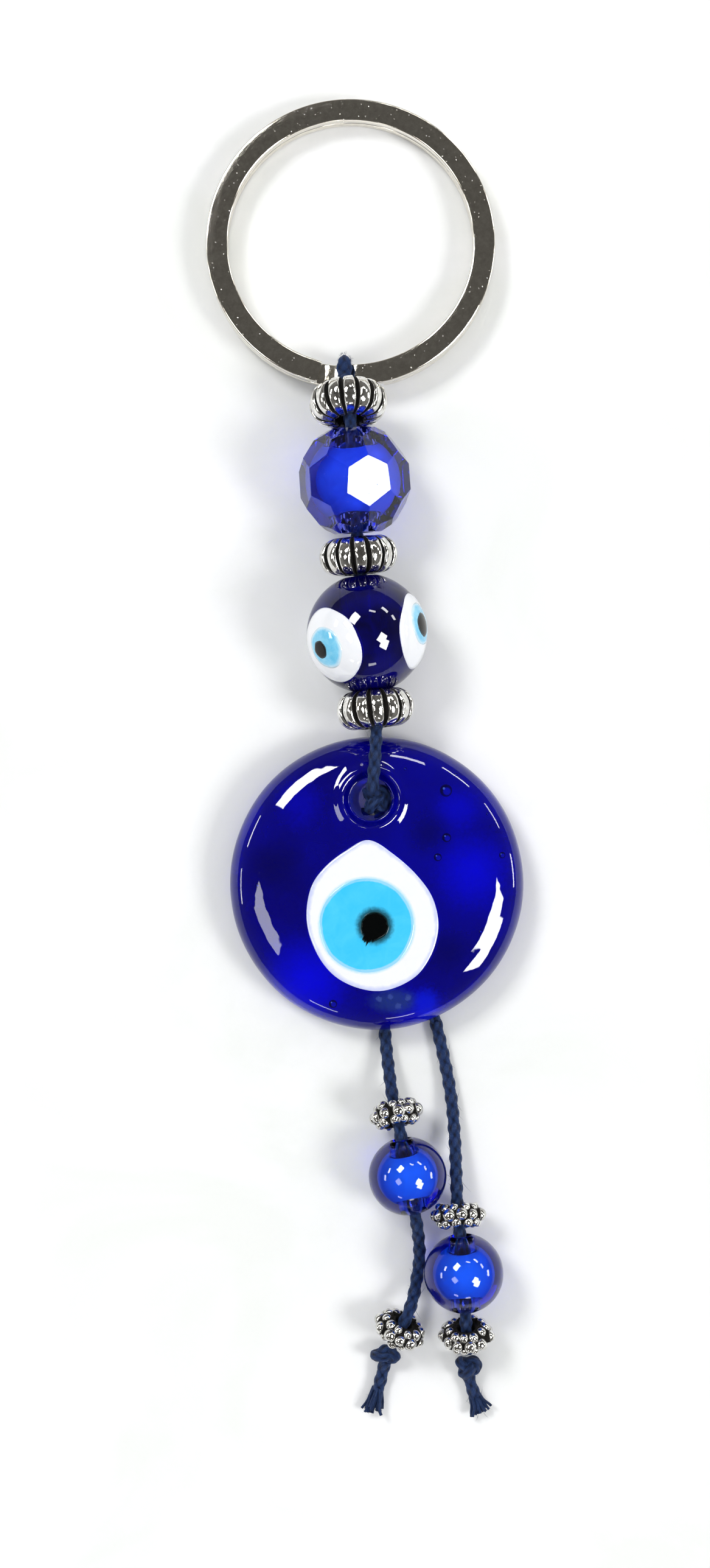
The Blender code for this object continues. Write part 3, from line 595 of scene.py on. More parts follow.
def on_curve(a, b, c, d, t):
    """The point at share t of the way from b to c, on a smooth curve through all four points."""
    return 0.5 * (2 * b + (c - a) * t + (2 * a - 5 * b + 4 * c - d) * t * t + (3 * b - a - 3 * c + d) * t ** 3)


def along_of(points):
    """Length along a path at each of its points."""
    return np.concatenate([[0.0], np.cumsum(np.linalg.norm(np.diff(points, axis=0), axis=1))])


def angles_round(sides):
    return np.arange(sides) * 2 * math.pi / sides


def smooth_path(points, spacing):
    """Points every spacing along a smooth curve through the given points."""
    pts = [Vector(p) for p in points]
    pts = [2 * pts[0] - pts[1]] + pts + [2 * pts[-1] - pts[-2]]
    fine = []
    for a, b, c, d in zip(pts, pts[1:], pts[2:], pts[3:]):
        fine += [on_curve(a, b, c, d, i / 12) for i in range(12)]
    fine.append(pts[-2])
    fine = np.array([tuple(p) for p in fine])
    lengths = along_of(fine)
    count = max(2, round(lengths[-1] / spacing))
    want = np.linspace(0.0, lengths[-1], count + 1)
    return np.stack([np.interp(want, lengths, fine[:, k]) for k in range(3)], axis=1)


def frames(points, side=None):
    """Two unit vectors across the path at each point: near side where one is given, else with no twist."""
    tangents = np.gradient(points, axis=0)
    tangents /= np.linalg.norm(tangents, axis=1, keepdims=True)
    across = np.zeros_like(points)
    last = np.array(side if side is not None else (1.0, 0.3, 0.2), float)
    for i, t in enumerate(tangents):
        base = np.array(side, float) if side is not None else last
        v = base - t * np.dot(base, t)
        last = v / np.linalg.norm(v)
        across[i] = last
    return across, np.cross(tangents, across)


TIP_DEPTH = 0.4  # the depth value in the middle of a cut end


class Shape:
    """Vertices, faces and per-point values that grow into one mesh."""

    def __init__(self):
        self.points, self.faces, self.depth, self.flow = [], [], [], []
        self.count = 0

    def add(self, points, depth=None, flow=None):
        first = self.count
        points = np.asarray(points, float).reshape(-1, 3)
        self.points.append(points)
        self.depth.append(np.ones(len(points)) if depth is None else np.asarray(depth, float).reshape(-1))
        flow = np.zeros((len(points), 3)) if flow is None else np.asarray(flow, float)
        self.flow.append(flow.reshape(-1, 3))
        self.count += len(points)
        return first

    def grid(self, points, depth=None, flow=None, wrap_rows=False, caps=False, flip=False):
        """A surface from rows of points, each row closed on itself."""
        rows, cols = points.shape[:2]
        first = self.add(points, depth, flow)
        for i in range(rows if wrap_rows else rows - 1):
            a, b = first + i * cols, first + (i + 1) % rows * cols
            for j in range(cols):
                n = (j + 1) % cols
                face = (a + j, a + n, b + n, b + j)
                self.faces.append(face[::-1] if flip else face)
        if caps:
            flows = None if flow is None else np.asarray(flow).reshape(rows, cols, 3)
            for row, start, turn in ((0, first, True), (rows - 1, first + (rows - 1) * cols, False)):
                middle_flow = None if flows is None else flows[row].mean(axis=0)
                tip = self.add(points[row].mean(axis=0), [TIP_DEPTH], middle_flow)
                for j in range(cols):
                    face = (start + j, start + (j + 1) % cols, tip)
                    self.faces.append(face[::-1] if turn != flip else face)

    def build(self, name, look, turn=None, sharp_deg=None):
        """One object from everything added, its points taken through turn."""
        mesh = bpy.data.meshes.new(name)
        mesh.from_pydata(np.concatenate(self.points).tolist(), [], self.faces)
        for label, kind, values in (("depth", "FLOAT", self.depth), ("flow", "FLOAT_VECTOR", self.flow)):
            layer = mesh.attributes.new(label, kind, "POINT")
            layer.data.foreach_set("value" if kind == "FLOAT" else "vector",
                                   np.concatenate(values).astype(np.float32).reshape(-1))
        if turn is not None:
            mesh.transform(turn)
        mesh.shade_smooth()
        if sharp_deg:
            mesh.set_sharp_from_angle(angle=math.radians(sharp_deg))
        mesh.materials.append(look)
        return new_object(name, mesh)


def finish_piece(obj, nodes, body=None, blend=None):
    """Hides the parts that a piece stands for and hangs it on the body that it moves with; where blend is given, its
    place is baked in instead.
    """
    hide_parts(*nodes)
    if blend:
        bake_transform(obj)
    else:
        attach(obj, body)
    return obj


def fix_normals(obj):
    bm = bmesh.new()
    bm.from_mesh(obj.data)
    bmesh.ops.recalc_face_normals(bm, faces=bm.faces)
    bm.to_mesh(obj.data)
    bm.free()


def closed_piece(shape, name, look, turn, node, body):
    """Builds a shape with its faces turned outwards, and finishes it."""
    obj = shape.build(name, look, turn)
    fix_normals(obj)
    return finish_piece(obj, [node], body=body)


def turned(profile, sides):
    """Rows of points round Z, one for each (radius, height) of the profile."""
    angles = angles_round(sides)
    rows = []
    for r, z in profile:
        rows.append(np.stack([r * np.cos(angles), r * np.sin(angles), np.full(sides, z)], axis=1))
    return np.array(rows)


def arc(radius, start_deg, end_deg, steps):
    """(radius, height) points round an arc; 0 degrees points along the axis."""
    angles = np.radians(np.linspace(start_deg, end_deg, steps + 1))
    return [(radius * math.sin(a), radius * math.cos(a)) for a in angles]


def wander(points, amount, scale, seed):
    """Moves points a little, smoothly, so that a cast or melted piece isn't perfectly true."""
    shift = Vector((seed * 7.31, seed * 3.17, seed * 5.93))
    out = points.reshape(-1, 3).copy()
    for p in out:
        p += np.array(noise.noise_vector(Vector(p) * scale + shift)) * amount
    return out.reshape(points.shape)


def bore_row(radius, sides, z, shift=0.0):
    """A row of points round a bore; shift is in steps."""
    angles = [2 * math.pi * (k + shift) / sides for k in range(sides)]
    return [(radius * math.cos(a), radius * math.sin(a), z) for a in angles]


# ---------------------------------------------------------------- cord


def weave(turn, along):
    """Height, 0 to 1, of a braid of crossing strands at an angle round the cord and a length along it."""
    u = BRAID_STRANDS * turn / (2 * math.pi) + along / BRAID_PITCH
    v = BRAID_STRANDS * turn / (2 * math.pi) - along / BRAID_PITCH
    fu, fv = u - np.floor(u) - 0.5, v - np.floor(v) - 0.5
    top = np.where((np.floor(u) + np.floor(v)) % 2 == 0, 1.0, -1.0)
    height_u = np.cos(np.pi * fu) ** 0.6 * (0.62 + 0.38 * np.cos(np.pi * fv) * top)
    height_v = np.cos(np.pi * fv) ** 0.6 * (0.62 - 0.38 * np.cos(np.pi * fu) * top)
    return np.maximum(height_u, height_v), height_u > height_v


def braid(shape, path, widths, heights, side=(1.0, 0.0, 0.0), sides=28, relief=0.34, start=0.0):
    """Adds a braided cord along path, in metres; widths and heights are its half sizes in millimetres."""
    across, up = frames(path, side)
    along = along_of(path) / MM + start
    turn = angles_round(sides)
    grid_turn, grid_along = np.meshgrid(turn, along)
    lift, first_way = weave(grid_turn, grid_along)
    widths = np.broadcast_to(widths, along.shape)[:, None]
    heights = np.broadcast_to(heights, along.shape)[:, None]
    scale = (1.0 - relief * (1.0 - lift)) * MM
    x = (np.cos(grid_turn) * widths * scale)[..., None]
    y = (np.sin(grid_turn) * heights * scale)[..., None]
    points = path[:, None, :] + across[:, None, :] * x + up[:, None, :] * y
    lean = np.where(first_way, 1.0, -1.0)
    flow = np.stack([grid_along + lean * grid_turn * 0.6, grid_turn * 0.68 - lean * grid_along * 0.55,
                     lean * 3.0], axis=-1)
    shape.grid(points, lift, flow, caps=True)


def yarn(shape, path, radii, sides=5, depth=0.8):
    """Adds a thin round fibre or ply along path, in metres; radii in millimetres."""
    across, up = frames(path)
    turn = angles_round(sides)
    radii = np.broadcast_to(radii, (len(path),))[:, None, None] * MM
    ring = np.cos(turn)[None, :, None] * across[:, None, :] + np.sin(turn)[None, :, None] * up[:, None, :]
    points = path[:, None, :] + ring * radii
    along = np.repeat(along_of(path)[:, None] / MM, sides, axis=1)
    flow = np.stack([along, np.broadcast_to(turn, along.shape), np.zeros_like(along)], axis=-1)
    shape.grid(points, np.full(along.shape, depth), flow, caps=True)


def fuzz(shape, path, radius, per_mm, rng, longest=1.1):
    """Adds stray fibres that stand off a cord."""
    across, up = frames(path, (1.0, 0.0, 0.0))
    count = int(along_of(path)[-1] / MM * per_mm)
    for _ in range(count):
        i = rng.randrange(2, len(path) - 2)
        a = rng.uniform(0, 2 * math.pi)
        out = across[i] * math.cos(a) + up[i] * math.sin(a)
        ahead = (path[i + 2] - path[i - 2]) * rng.choice((-1, 1))
        ahead /= np.linalg.norm(ahead)
        root = path[i] + out * radius * 0.85 * MM
        length = rng.uniform(0.25, longest) * MM
        bend = np.array([rng.uniform(-1, 1) for _ in range(3)])
        steps = np.linspace(0, 1, 5)[:, None]
        fibre = root + (out * 0.55 + ahead * 0.8) * length * steps + bend * length * 0.45 * steps ** 2
        fibre[:, 2] = np.maximum(fibre[:, 2], FIBRE_FLOOR * MM)
        if np.linalg.norm(fibre[-1] - fibre[0]) > 0.1 * MM:
            yarn(shape, fibre, 0.018 * (1.15 - steps[:, 0]), sides=3)


def stem_strand_path(side, low_y, high_y):
    """One of the two strands through the stem's beads, between two places along it."""
    middle = smooth_path(STEM_PATH, 0.0004)
    middle = middle[np.argsort(middle[:, 1])]
    along = np.gradient(middle, axis=0)
    along /= np.linalg.norm(along, axis=1, keepdims=True)
    up = np.cross((1.0, 0.0, 0.0), along)
    up *= np.sign(up[:, 2:3])
    up /= np.linalg.norm(up, axis=1, keepdims=True)
    strand = middle + up * STRAND_OFFSET * side * MM
    return strand[(strand[:, 1] > low_y) & (strand[:, 1] < high_y)]


def stem_cord(look, rng):
    """The cord from the disc's hole, through the beads, round the key ring and back."""
    meet_y = 0.0  # hidden in the middle rondelle
    loop = np.array([(LOOP_X, y, z) for y, z in LOOP_ROUTE])
    up_leg = stem_strand_path(1.0, meet_y, 0.0165)
    down_leg = stem_strand_path(-1.0, meet_y, 0.0165)[::-1]
    path = smooth_path(np.concatenate([up_leg[::5], loop, down_leg[::5]]), 0.0001)
    y, z = path[:, 1], path[:, 2]
    flat = np.clip((y - 0.0168) / 0.0012, 0.0, 1.0)
    heights = CORD_R + (LOOP_R - CORD_R) * flat
    widths = CORD_R + (LOOP_R * LOOP_FLATTEN - CORD_R) * flat
    widths *= 1.0 - 0.38 * np.clip((y - 0.0204) / 0.0008, 0.0, 1.0) ** 2  # the bight is round, not square
    shape = Shape()
    braid(shape, path, widths, heights)
    bight = path[(y > 0.0190) & (z > 0.0028)]
    fuzz(shape, bight, LOOP_R + 0.25, 45.0, rng, longest=0.45)
    obj = shape.build("stem_cord_and_loop", look)
    finish_piece(obj, ["cord_ring_loop", "cord_stem_front", "cord_stem_back"],
                 blend=("stem_cord", "ring_loop", (LOOP_X, 0.0168, 0.0055), (LOOP_X, 0.0193, 0.0045)))

    hole_x, hole_y = JOINTS["disc_swing"]["pos_m"][:2]
    shape = Shape()
    lower = stem_strand_path(1.0, -0.0162, meet_y)
    out_of_hole = [(hole_x + 0.0004, hole_y + 0.0003, 0.0046), (hole_x + 0.0003, hole_y + 0.0008, 0.0058)]
    front = np.concatenate([out_of_hole, np.array(FRONT_STRAND), lower[::5]])
    path = smooth_path(front, 0.0001)
    braid(shape, path, CORD_R, CORD_R)
    fuzz(shape, path[path[:, 1] < -0.0165], CORD_R, 4.0, rng)
    lower = stem_strand_path(-1.0, -0.0155, meet_y)
    back = np.concatenate([lower[::-5], np.array(BACK_STRAND)])
    path = smooth_path(back, 0.0001)
    thin = np.clip((-0.0150 - path[:, 1]) / 0.0022, 0.0, 1.0)
    radii = CORD_R + (BACK_STRAND_R - CORD_R) * thin
    braid(shape, path, radii, radii)
    obj = shape.build("neck_cord", look)
    finish_piece(obj, ["cord_front_strand", "cord_back_strand"],
                 blend=("neck_cord", "stem_cord", (0.0012, -0.0184, 0.0062), (0.0012, -0.0160, 0.0060)))


def knot(name, node, look, tube, turns, rng, body):
    """An overhand knot pulled tight, sized to the CAD lump that it stands for."""
    low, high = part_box(node)
    centre, half = (low + high) / 2, (high - low) / 2
    t = np.linspace(0.0, 2 * math.pi, 161)
    raw = np.stack([np.sin(t) + 2 * np.sin(2 * t), np.cos(t) - 2 * np.cos(2 * t), -1.6 * np.sin(3 * t)], axis=1)
    raw = raw @ np.array(Matrix.Rotation(math.radians(turns[0]), 3, "Z")
                         @ Matrix.Rotation(math.radians(turns[1]), 3, "X"))
    reach = np.abs(raw).max(axis=0)
    room = np.array(half) - tube * MM * 0.95
    path = np.array(centre) + raw / reach * room
    shape = Shape()
    braid(shape, path, tube, tube, side=None, sides=24)
    fuzz(shape, path, tube, 2.0, rng, longest=0.7)
    obj = shape.build(name, look)
    return finish_piece(obj, [node], body=body)


def frayed(name, node, route, look, plies, spread, rng, body):
    """The loose end past a knot: braided, then opening into plies and yarns."""
    path = smooth_path(route, 0.0001)
    split = int(len(path) * 0.52)
    shape = Shape()
    braid(shape, path[:split + 4], CORD_R, CORD_R * 0.95)
    across, up = frames(path, (1.0, 0.0, 0.0))
    tail = path[split:]
    side, rise = across[split:], up[split:]
    share = np.linspace(0, 1, len(tail))
    for k in range(plies):
        lean = (k + 0.5) / plies * 2 - 1
        for _ in range(14):
            a, r = rng.uniform(0, 2 * math.pi), rng.uniform(0.08, 0.46)
            fan = (lean + rng.uniform(-0.3, 0.3)) * spread * share ** 1.5
            wobble = np.sin(share * rng.uniform(4, 9) + rng.uniform(0, 6)) * 0.14 * share
            cut = max(12, int(len(tail) * rng.uniform(0.78, 1.0)))
            x = (r * math.cos(a) * (1 + 0.6 * share) + fan + wobble + lean * 0.2)[:, None] * MM
            z = (r * math.sin(a) * (1 + 0.4 * share) + wobble * 0.6)[:, None] * MM
            line = tail + side * x + rise * z
            line[:, 2] = np.maximum(line[:, 2], YARN_FLOOR * MM)
            yarn(shape, line[:cut:3], rng.uniform(0.12, 0.17), sides=6, depth=rng.uniform(0.5, 1.0))
    fuzz(shape, tail, CORD_R * 1.2, 12.0, rng, longest=0.9)
    obj = shape.build(name, look)
    return finish_piece(obj, [node], body=body)


def tail_cord(side, behind, route, look, rng, joint_y):
    """One of the two tails, from the hole's back, under the disc and out to its end knot."""
    path = smooth_path(np.concatenate([np.array(behind), np.array(route)]), 0.0001)
    shape = Shape()
    braid(shape, path, CORD_R, CORD_R, start=0.3 if side == "left" else 0.7)
    free = path[path[:, 1] < joint_y]
    fuzz(shape, free, CORD_R, 2.2, rng)
    obj = shape.build(side + "_cord", look)
    finish_piece(obj, [f"cord_behind_{side}", f"{side}_tail_cord"],
                 blend=("disc", side + "_tail", (path[0][0], joint_y + 0.0016, 0.0007),
                        (path[0][0], joint_y - 0.0012, 0.0007)))


def end_pieces(look, rng):
    """The knots and the loose ends of the two tails, and the knot in the disc's hole."""
    knot("hole_knot_tied", "hole_knot", look, 0.60, (20.0, 60.0), rng, "disc")
    left = [knot("left_knot_tied", "left_end_knot", look, 0.56, (75.0, 25.0), rng, "left_tail"),
            frayed("left_fray", "left_frayed_end", [(0.0023, -0.0822, 0.0014)] + LEFT_STUB, look, 3, 0.80, rng,
                   "left_tail")]
    right = [knot("right_knot_tied", "right_end_knot", look, 0.56, (15.0, 30.0), rng, "right_tail"),
             frayed("right_fray", "right_frayed_end", [(0.0108, -0.0832, 0.0013)] + RIGHT_STUB, look, 2, 1.25, rng,
                    "right_tail")]
    return left, right


# ---------------------------------------------------------------- key ring

RING_OUTER_R = 14.9
RING_WIRE_WIDTH = 2.25
RING_WIRE_THICK = 1.3
RING_COIL_PITCH = 1.4
RING_END_DEG = 13.5
RING_JOGGLE_DEG = 8.0
RING_JOGGLE_MIDDLE_DEG = -4.5


def ring_height(angle_deg):
    """Height of the wire's middle along the ring's two turns, measured from the side nearest the stem."""
    share = min(1.0, max(0.0, (angle_deg - RING_JOGGLE_MIDDLE_DEG + RING_JOGGLE_DEG) / (2 * RING_JOGGLE_DEG)))
    return RING_COIL_PITCH * (share * share * (3 - 2 * share) - 0.5)


def key_ring(look):
    half_w, half_t = RING_WIRE_WIDTH / 2, RING_WIRE_THICK / 2
    round_r = 0.17
    section = []
    for cx, cy, first in ((1, 1, 0), (-1, 1, 90), (-1, -1, 180), (1, -1, 270)):
        for k in range(4):
            a = math.radians(first + 30 * k)
            section.append((cx * (half_w - round_r) + round_r * math.cos(a),
                            cy * (half_t - round_r) + round_r * math.sin(a)))
    middle_r = RING_OUTER_R - half_w
    sweep = 2 * (360.0 - RING_END_DEG)
    steps = 520
    rows, flows = [], []
    for i in range(steps + 1):
        along = -sweep / 2 + sweep * i / steps
        a = math.radians(along - 90.0)
        height = ring_height(along)
        shrink = 1.0 - 0.05 * max(0.0, 1.0 - min(i, steps - i) / 3.0)
        rows.append([((middle_r + u * shrink) * math.cos(a), (middle_r + u * shrink) * math.sin(a),
                      height + v * shrink) for u, v in section])
        flows.append([(math.radians(along) * middle_r, u, v) for u, v in section])
    shape = Shape()
    shape.grid(np.array(rows), None, np.array(flows), caps=True, flip=True)
    joint = JOINTS["key_ring_turn"]
    tilt = -math.asin(joint["axis"][1])
    turn = Matrix.Translation(joint["pos_m"]) @ Matrix.Rotation(tilt, 4, "X") @ Matrix.Scale(MM, 4)
    obj = shape.build("split_ring", look, turn, sharp_deg=50)
    finish_piece(obj, ["key_ring"], body="key_ring")


# ---------------------------------------------------------------- metal beads

RONDELLE_R = 4.0
RONDELLE_HALF = 1.93
RONDELLE_BORE_R = 1.45
RONDELLE_MOUTH_R = 1.55
RONDELLE_RIBS = 14
RONDELLE_FIRST_DEG = 4.0


def rondelle(name, look, seed):
    """A pumpkin-ribbed rondelle: wide smooth ribs between narrow black grooves."""
    joint = JOINTS[name + "_spin"]
    per_rib, around = 18, 44
    sides = RONDELLE_RIBS * per_rib
    rng = random.Random(seed)
    tall = [rng.uniform(0.975, 1.02) for _ in range(RONDELLE_RIBS)]
    lift = [rng.uniform(-0.06, 0.06) for _ in range(RONDELLE_RIBS)]
    rows, depths = [], []
    rim = RONDELLE_MOUTH_R
    for i in range(around + 1):
        a = math.pi * i / around
        swell = math.sin(a) ** 0.66
        row, depth = [], []
        for k in range(sides):
            rib, share = divmod(k, per_rib)
            share = abs((share + 0.5) / per_rib - 0.5) * 2.0
            crown = 1.0 - max(0.0, (share - 0.56) / 0.44) ** 1.5
            reach = rim + (RONDELLE_R * tall[rib] - rim) * swell
            reach -= (1.0 - crown) * 0.70 * min(1.0, swell * 1.5) + share * share * 0.16 * swell
            angle = 2 * math.pi * (k + 0.5) / sides
            z = RONDELLE_HALF * math.cos(a) * (1.0 - 0.12 * (1.0 - crown)) + lift[rib] * swell * crown
            row.append((reach * math.cos(angle), reach * math.sin(angle), z))
            depth.append((1.0 - min(1.0, max(0.0, (share - 0.60) / 0.15))) * min(1.0, 0.35 + swell * 1.6))
        rows.append(row)
        depths.append(depth)
    for z in (-0.95, 0.0, 0.95):
        rows.append(bore_row(RONDELLE_BORE_R, sides, z, 0.5))
        depths.append([0.15] * sides)
    points = wander(np.array(rows), 0.06, 0.9, seed)
    shape = Shape()
    shape.grid(points, np.array(depths), wrap_rows=True)
    turn = seat(joint["pos_m"], joint["axis"], RONDELLE_FIRST_DEG)
    closed_piece(shape, name + "_cast", look, turn, name, name)


SPACER_BORE_R = 0.98
SPACER_CORE_R = 1.2
# Each row of granules: height, distance from the axis, size, and how many steps it is turned by
GRANULE_ROWS = [(0.0, 2.28, 0.62, 0.0), (0.74, 1.80, 0.52, 0.5), (-0.74, 1.80, 0.52, 0.5)]
GRANULES = 11


def spacer(name, look, axis, seed):
    """A small rondelle of melted granules: a fat row round its middle and a finer one towards each face."""
    sides, around = 150, 40
    rng = random.Random(seed)
    lumps = []
    for row_z, row_r, size, phase in GRANULE_ROWS:
        for k in range(GRANULES):
            a = 2 * math.pi * (k + phase + rng.uniform(-0.14, 0.14)) / GRANULES
            r = row_r + rng.uniform(-0.08, 0.08)
            lumps.append((r * math.cos(a), r * math.sin(a), row_z + rng.uniform(-0.08, 0.08),
                          size * rng.uniform(0.9, 1.12)))
    lumps = np.array(lumps)
    rows, depths = [], []
    for i in range(around + 1):
        a = math.pi * i / around
        outward, upward = math.sin(a) ** 0.9, math.cos(a)
        row, depth = [], []
        for k in range(sides):
            angle = 2 * math.pi * k / sides
            ray = np.array([outward * math.cos(angle), outward * math.sin(angle), upward * 0.75])
            ray /= np.linalg.norm(ray)
            start = np.array([SPACER_CORE_R * math.cos(angle), SPACER_CORE_R * math.sin(angle), 0.0])
            to = lumps[:, :3] - start
            near = to @ ray
            miss = (to * to).sum(axis=1) - near ** 2
            hit = lumps[:, 3] ** 2 - miss
            base = 0.95 if outward > 0.5 else 0.85
            reaches = np.where(hit > 0, near + np.sqrt(np.maximum(hit, 0)), 0)
            first = int(reaches.argmax())
            row.append(start + ray * max(base, float(reaches[first])))
            off = math.sqrt(max(0.0, miss[first])) / lumps[first, 3] if reaches[first] > base else 1.0
            depth.append(min(1.0, max(0.0, (1.0 - off) / 0.45)))
        rows.append(row)
        depths.append(depth)
    for z in (-0.9, 0.0, 0.9):
        rows.append(bore_row(SPACER_BORE_R, sides, z))
        depths.append([0.1] * sides)
    shape = Shape()
    shape.grid(wander(np.array(rows, float), 0.04, 2.3, seed), np.array(depths), wrap_rows=True)
    turn = seat(middle_of(name), axis)
    return closed_piece(shape, name + "_granulated", look, turn, name, name)


# ---------------------------------------------------------------- glass and acrylic beads

STEM_BORE_R = 1.6
TAIL_BORE_R = 1.0
CORE_SHARE = 0.52
FACETED_CORE_R = 3.2
FACETED_SIDE_DISTANCE = 5.25
# The rows of facets above and below those of the side: turn, lean, distance from the centre
FACETED_ROWS = [(22.5, 33.0, 5.47), (0.0, 60.0, 5.69)]
FRONT_FACET_TILT = -0.09
FACETED_END_HALF = 5.3
FACETED_FIRST_DEG = 15.0
EYE_BEAD_R = 6.1
# The bead's three eyes, each a white, an iris and a pupil: (azimuth, low, half angle)
EYE_SPOTS = [
    [(-47.0, -12.0, 41.0), (-46.3, -11.4, 20.0), (-52.0, -12.0, 8.4)],
    [(73.5, -3.5, 41.0), (69.0, 3.2, 20.3), (69.0, 1.6, 11.5)],
    [(197.0, 0.0, 41.0), (197.0, 1.0, 20.3), (198.0, 2.0, 9.5)],
]


def bored_ball(radius, bore_r, steps, lip):
    """Profile of a ball with a rounded bore, down the outside and back up through the bore."""
    open_deg = math.degrees(math.asin((bore_r + lip) / radius))
    outer = arc(radius, open_deg, 180.0 - open_deg, steps)
    end_z = outer[0][1]
    inner = [(bore_r + lip * 0.35, -end_z + 0.02), (bore_r, -end_z + lip)]
    inner += [(bore_r, z) for z in np.linspace(-end_z + 2 * lip, end_z - 2 * lip, 9)]
    inner += [(bore_r, end_z - lip), (bore_r + lip * 0.35, end_z - 0.02)]
    return outer + inner


def bored_shape(radius, bore_r, steps, sides, *uneven, lip=0.18):
    """A ball with a bore, made uneven by an amount, a scale and a seed."""
    shape = Shape()
    shape.grid(wander(turned(bored_ball(radius, bore_r, steps, lip), sides), *uneven), wrap_rows=True)
    return shape


def facets(turn):
    """The cut bead's planes: (normal, distance from the centre); turn takes them to their place."""
    planes = [(Vector((0, 0, 1)), FACETED_END_HALF), (Vector((0, 0, -1)), FACETED_END_HALF)]
    rng = random.Random(5)
    sides = [Vector((math.cos(math.radians(45 * k)), math.sin(math.radians(45 * k)), 0.0)) for k in range(8)]
    front = max(sides, key=lambda side: (turn.to_3x3() @ side).z)
    for k, side in enumerate(sides):
        side.z = FRONT_FACET_TILT if side is front else rng.uniform(-0.012, 0.012)
        planes.append((side.normalized(), FACETED_SIDE_DISTANCE))
        for half in (1, -1):
            for turn_deg, lean_deg, distance in FACETED_ROWS:
                a = math.radians(45 * k + turn_deg)
                lean = math.radians(lean_deg + rng.uniform(-1.5, 1.5))
                planes.append((Vector((math.cos(lean) * math.cos(a), math.cos(lean) * math.sin(a),
                                       half * math.sin(lean))), distance))
    return planes


def faceted_bead(shell_look, core):
    joint = JOINTS["faceted_bead_spin"]
    turn = seat(joint["pos_m"], joint["axis"], FACETED_FIRST_DEG)
    bm = bmesh.new()
    bmesh.ops.create_cube(bm, size=14.0)
    for normal, distance in facets(turn):
        everything = bm.verts[:] + bm.edges[:] + bm.faces[:]
        cut = bmesh.ops.bisect_plane(bm, geom=everything, plane_co=normal * distance, plane_no=normal,
                                     clear_outer=True, dist=1e-5)
        edges = [e for e in cut["geom_cut"] if isinstance(e, bmesh.types.BMEdge)]
        if edges:
            bmesh.ops.edgeloop_fill(bm, edges=edges)
    mesh = bpy.data.meshes.new("faceted_shell")
    bm.to_mesh(mesh)
    bm.free()
    shell = new_object("faceted_shell", mesh)
    worn = shell.modifiers.new("worn_edges", "BEVEL")
    worn.width = 0.04
    worn.segments = 1
    worn.limit_method = "ANGLE"
    worn.angle_limit = math.radians(12)
    bore = Shape()
    profile = [(0.001, 7.0), (STEM_BORE_R, 7.0)] + [(STEM_BORE_R, z) for z in np.linspace(6, -6, 7)]
    bore.grid(turned(profile + [(STEM_BORE_R, -7.0), (0.001, -7.0)], 48), caps=True)
    cutter = bore.build("bore_cutter", core)
    fix_normals(cutter)
    fix_normals(shell)
    cut = shell.modifiers.new("bore", "BOOLEAN")
    cut.operation = "DIFFERENCE"
    cut.solver = "EXACT"
    cut.object = cutter
    bpy.context.view_layer.update()
    made = bpy.data.meshes.new_from_object(shell.evaluated_get(bpy.context.evaluated_depsgraph_get()))
    shell.modifiers.clear()
    shell.data = made
    bpy.data.objects.remove(cutter)
    made.transform(turn)
    made.shade_flat()
    made.materials.clear()
    made.materials.append(shell_look)
    finish_piece(shell, ["faceted_bead_shell"], body="faceted_bead")
    ball = bored_shape(FACETED_CORE_R, STEM_BORE_R + 0.05, 40, 72, 0.03, 0.6, 3)
    closed_piece(ball, "faceted_core", core, turn, "faceted_bead_core", "faceted_bead")


def tail_bead(name, shell_look, core, seed):
    """A round bead in a bead: a clear shell round an opaque ball."""
    joint = JOINTS[name + "_spin"]
    low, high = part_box(name + "_shell")
    radius = (high - low).x / 2 / MM
    turn = seat(joint["pos_m"], joint["axis"])
    shell = bored_shape(radius, TAIL_BORE_R, 48, 72, 0.02, 0.3, seed)
    ball = bored_shape(radius * CORE_SHARE, TAIL_BORE_R + 0.04, 40, 64, 0.03, 0.5, seed + 1)
    return [closed_piece(shell, name + "_clear", shell_look, turn, name + "_shell", name),
            closed_piece(ball, name + "_ball", core, turn, name + "_core", name)]


def on_ball(radius, tilt, turn):
    """The point of a ball that lies tilt away from the Z axis and turn round it."""
    return radius * math.sin(tilt) * math.cos(turn), radius * math.sin(tilt) * math.sin(turn), radius * math.cos(tilt)


def cap(shape, radius, half_deg, floor_r, edge_lift, seed, uneven):
    """A melted spot on a ball: its face bulges to radius, its edge wavers, and it runs down to floor_r."""
    sides, steps = 72, 12
    angles = angles_round(sides)
    rows, depths = [], []
    wave = [noise.noise(Vector((math.cos(a) * 1.4, math.sin(a) * 1.4, seed))) for a in angles]
    for i in range(steps + 1):
        share = i / steps
        depths.append([share] * sides)
        row = []
        for a, w in zip(angles, wave):
            tilt = math.radians(half_deg) * share * (1 + uneven * w * share)
            r = radius + (edge_lift - radius) * max(0.0, share - 0.82) / 0.18
            row.append(on_ball(r, tilt, a))
        rows.append(row)
    for share, r in ((0.97, (edge_lift + floor_r) / 2), (0.86, floor_r), (0.5, floor_r)):
        depths.append([1.0] * sides)
        row = []
        for a, w in zip(angles, wave):
            tilt = math.radians(half_deg) * share * (1 + uneven * w)
            row.append(on_ball(r, tilt, a))
        rows.append(row)
    rows[0] = [(p[0] + 1e-4 * math.cos(a), p[1] + 1e-4 * math.sin(a), p[2]) for p, a in zip(rows[0], angles)]
    shape.grid(np.array(rows), np.array(depths), caps=True)


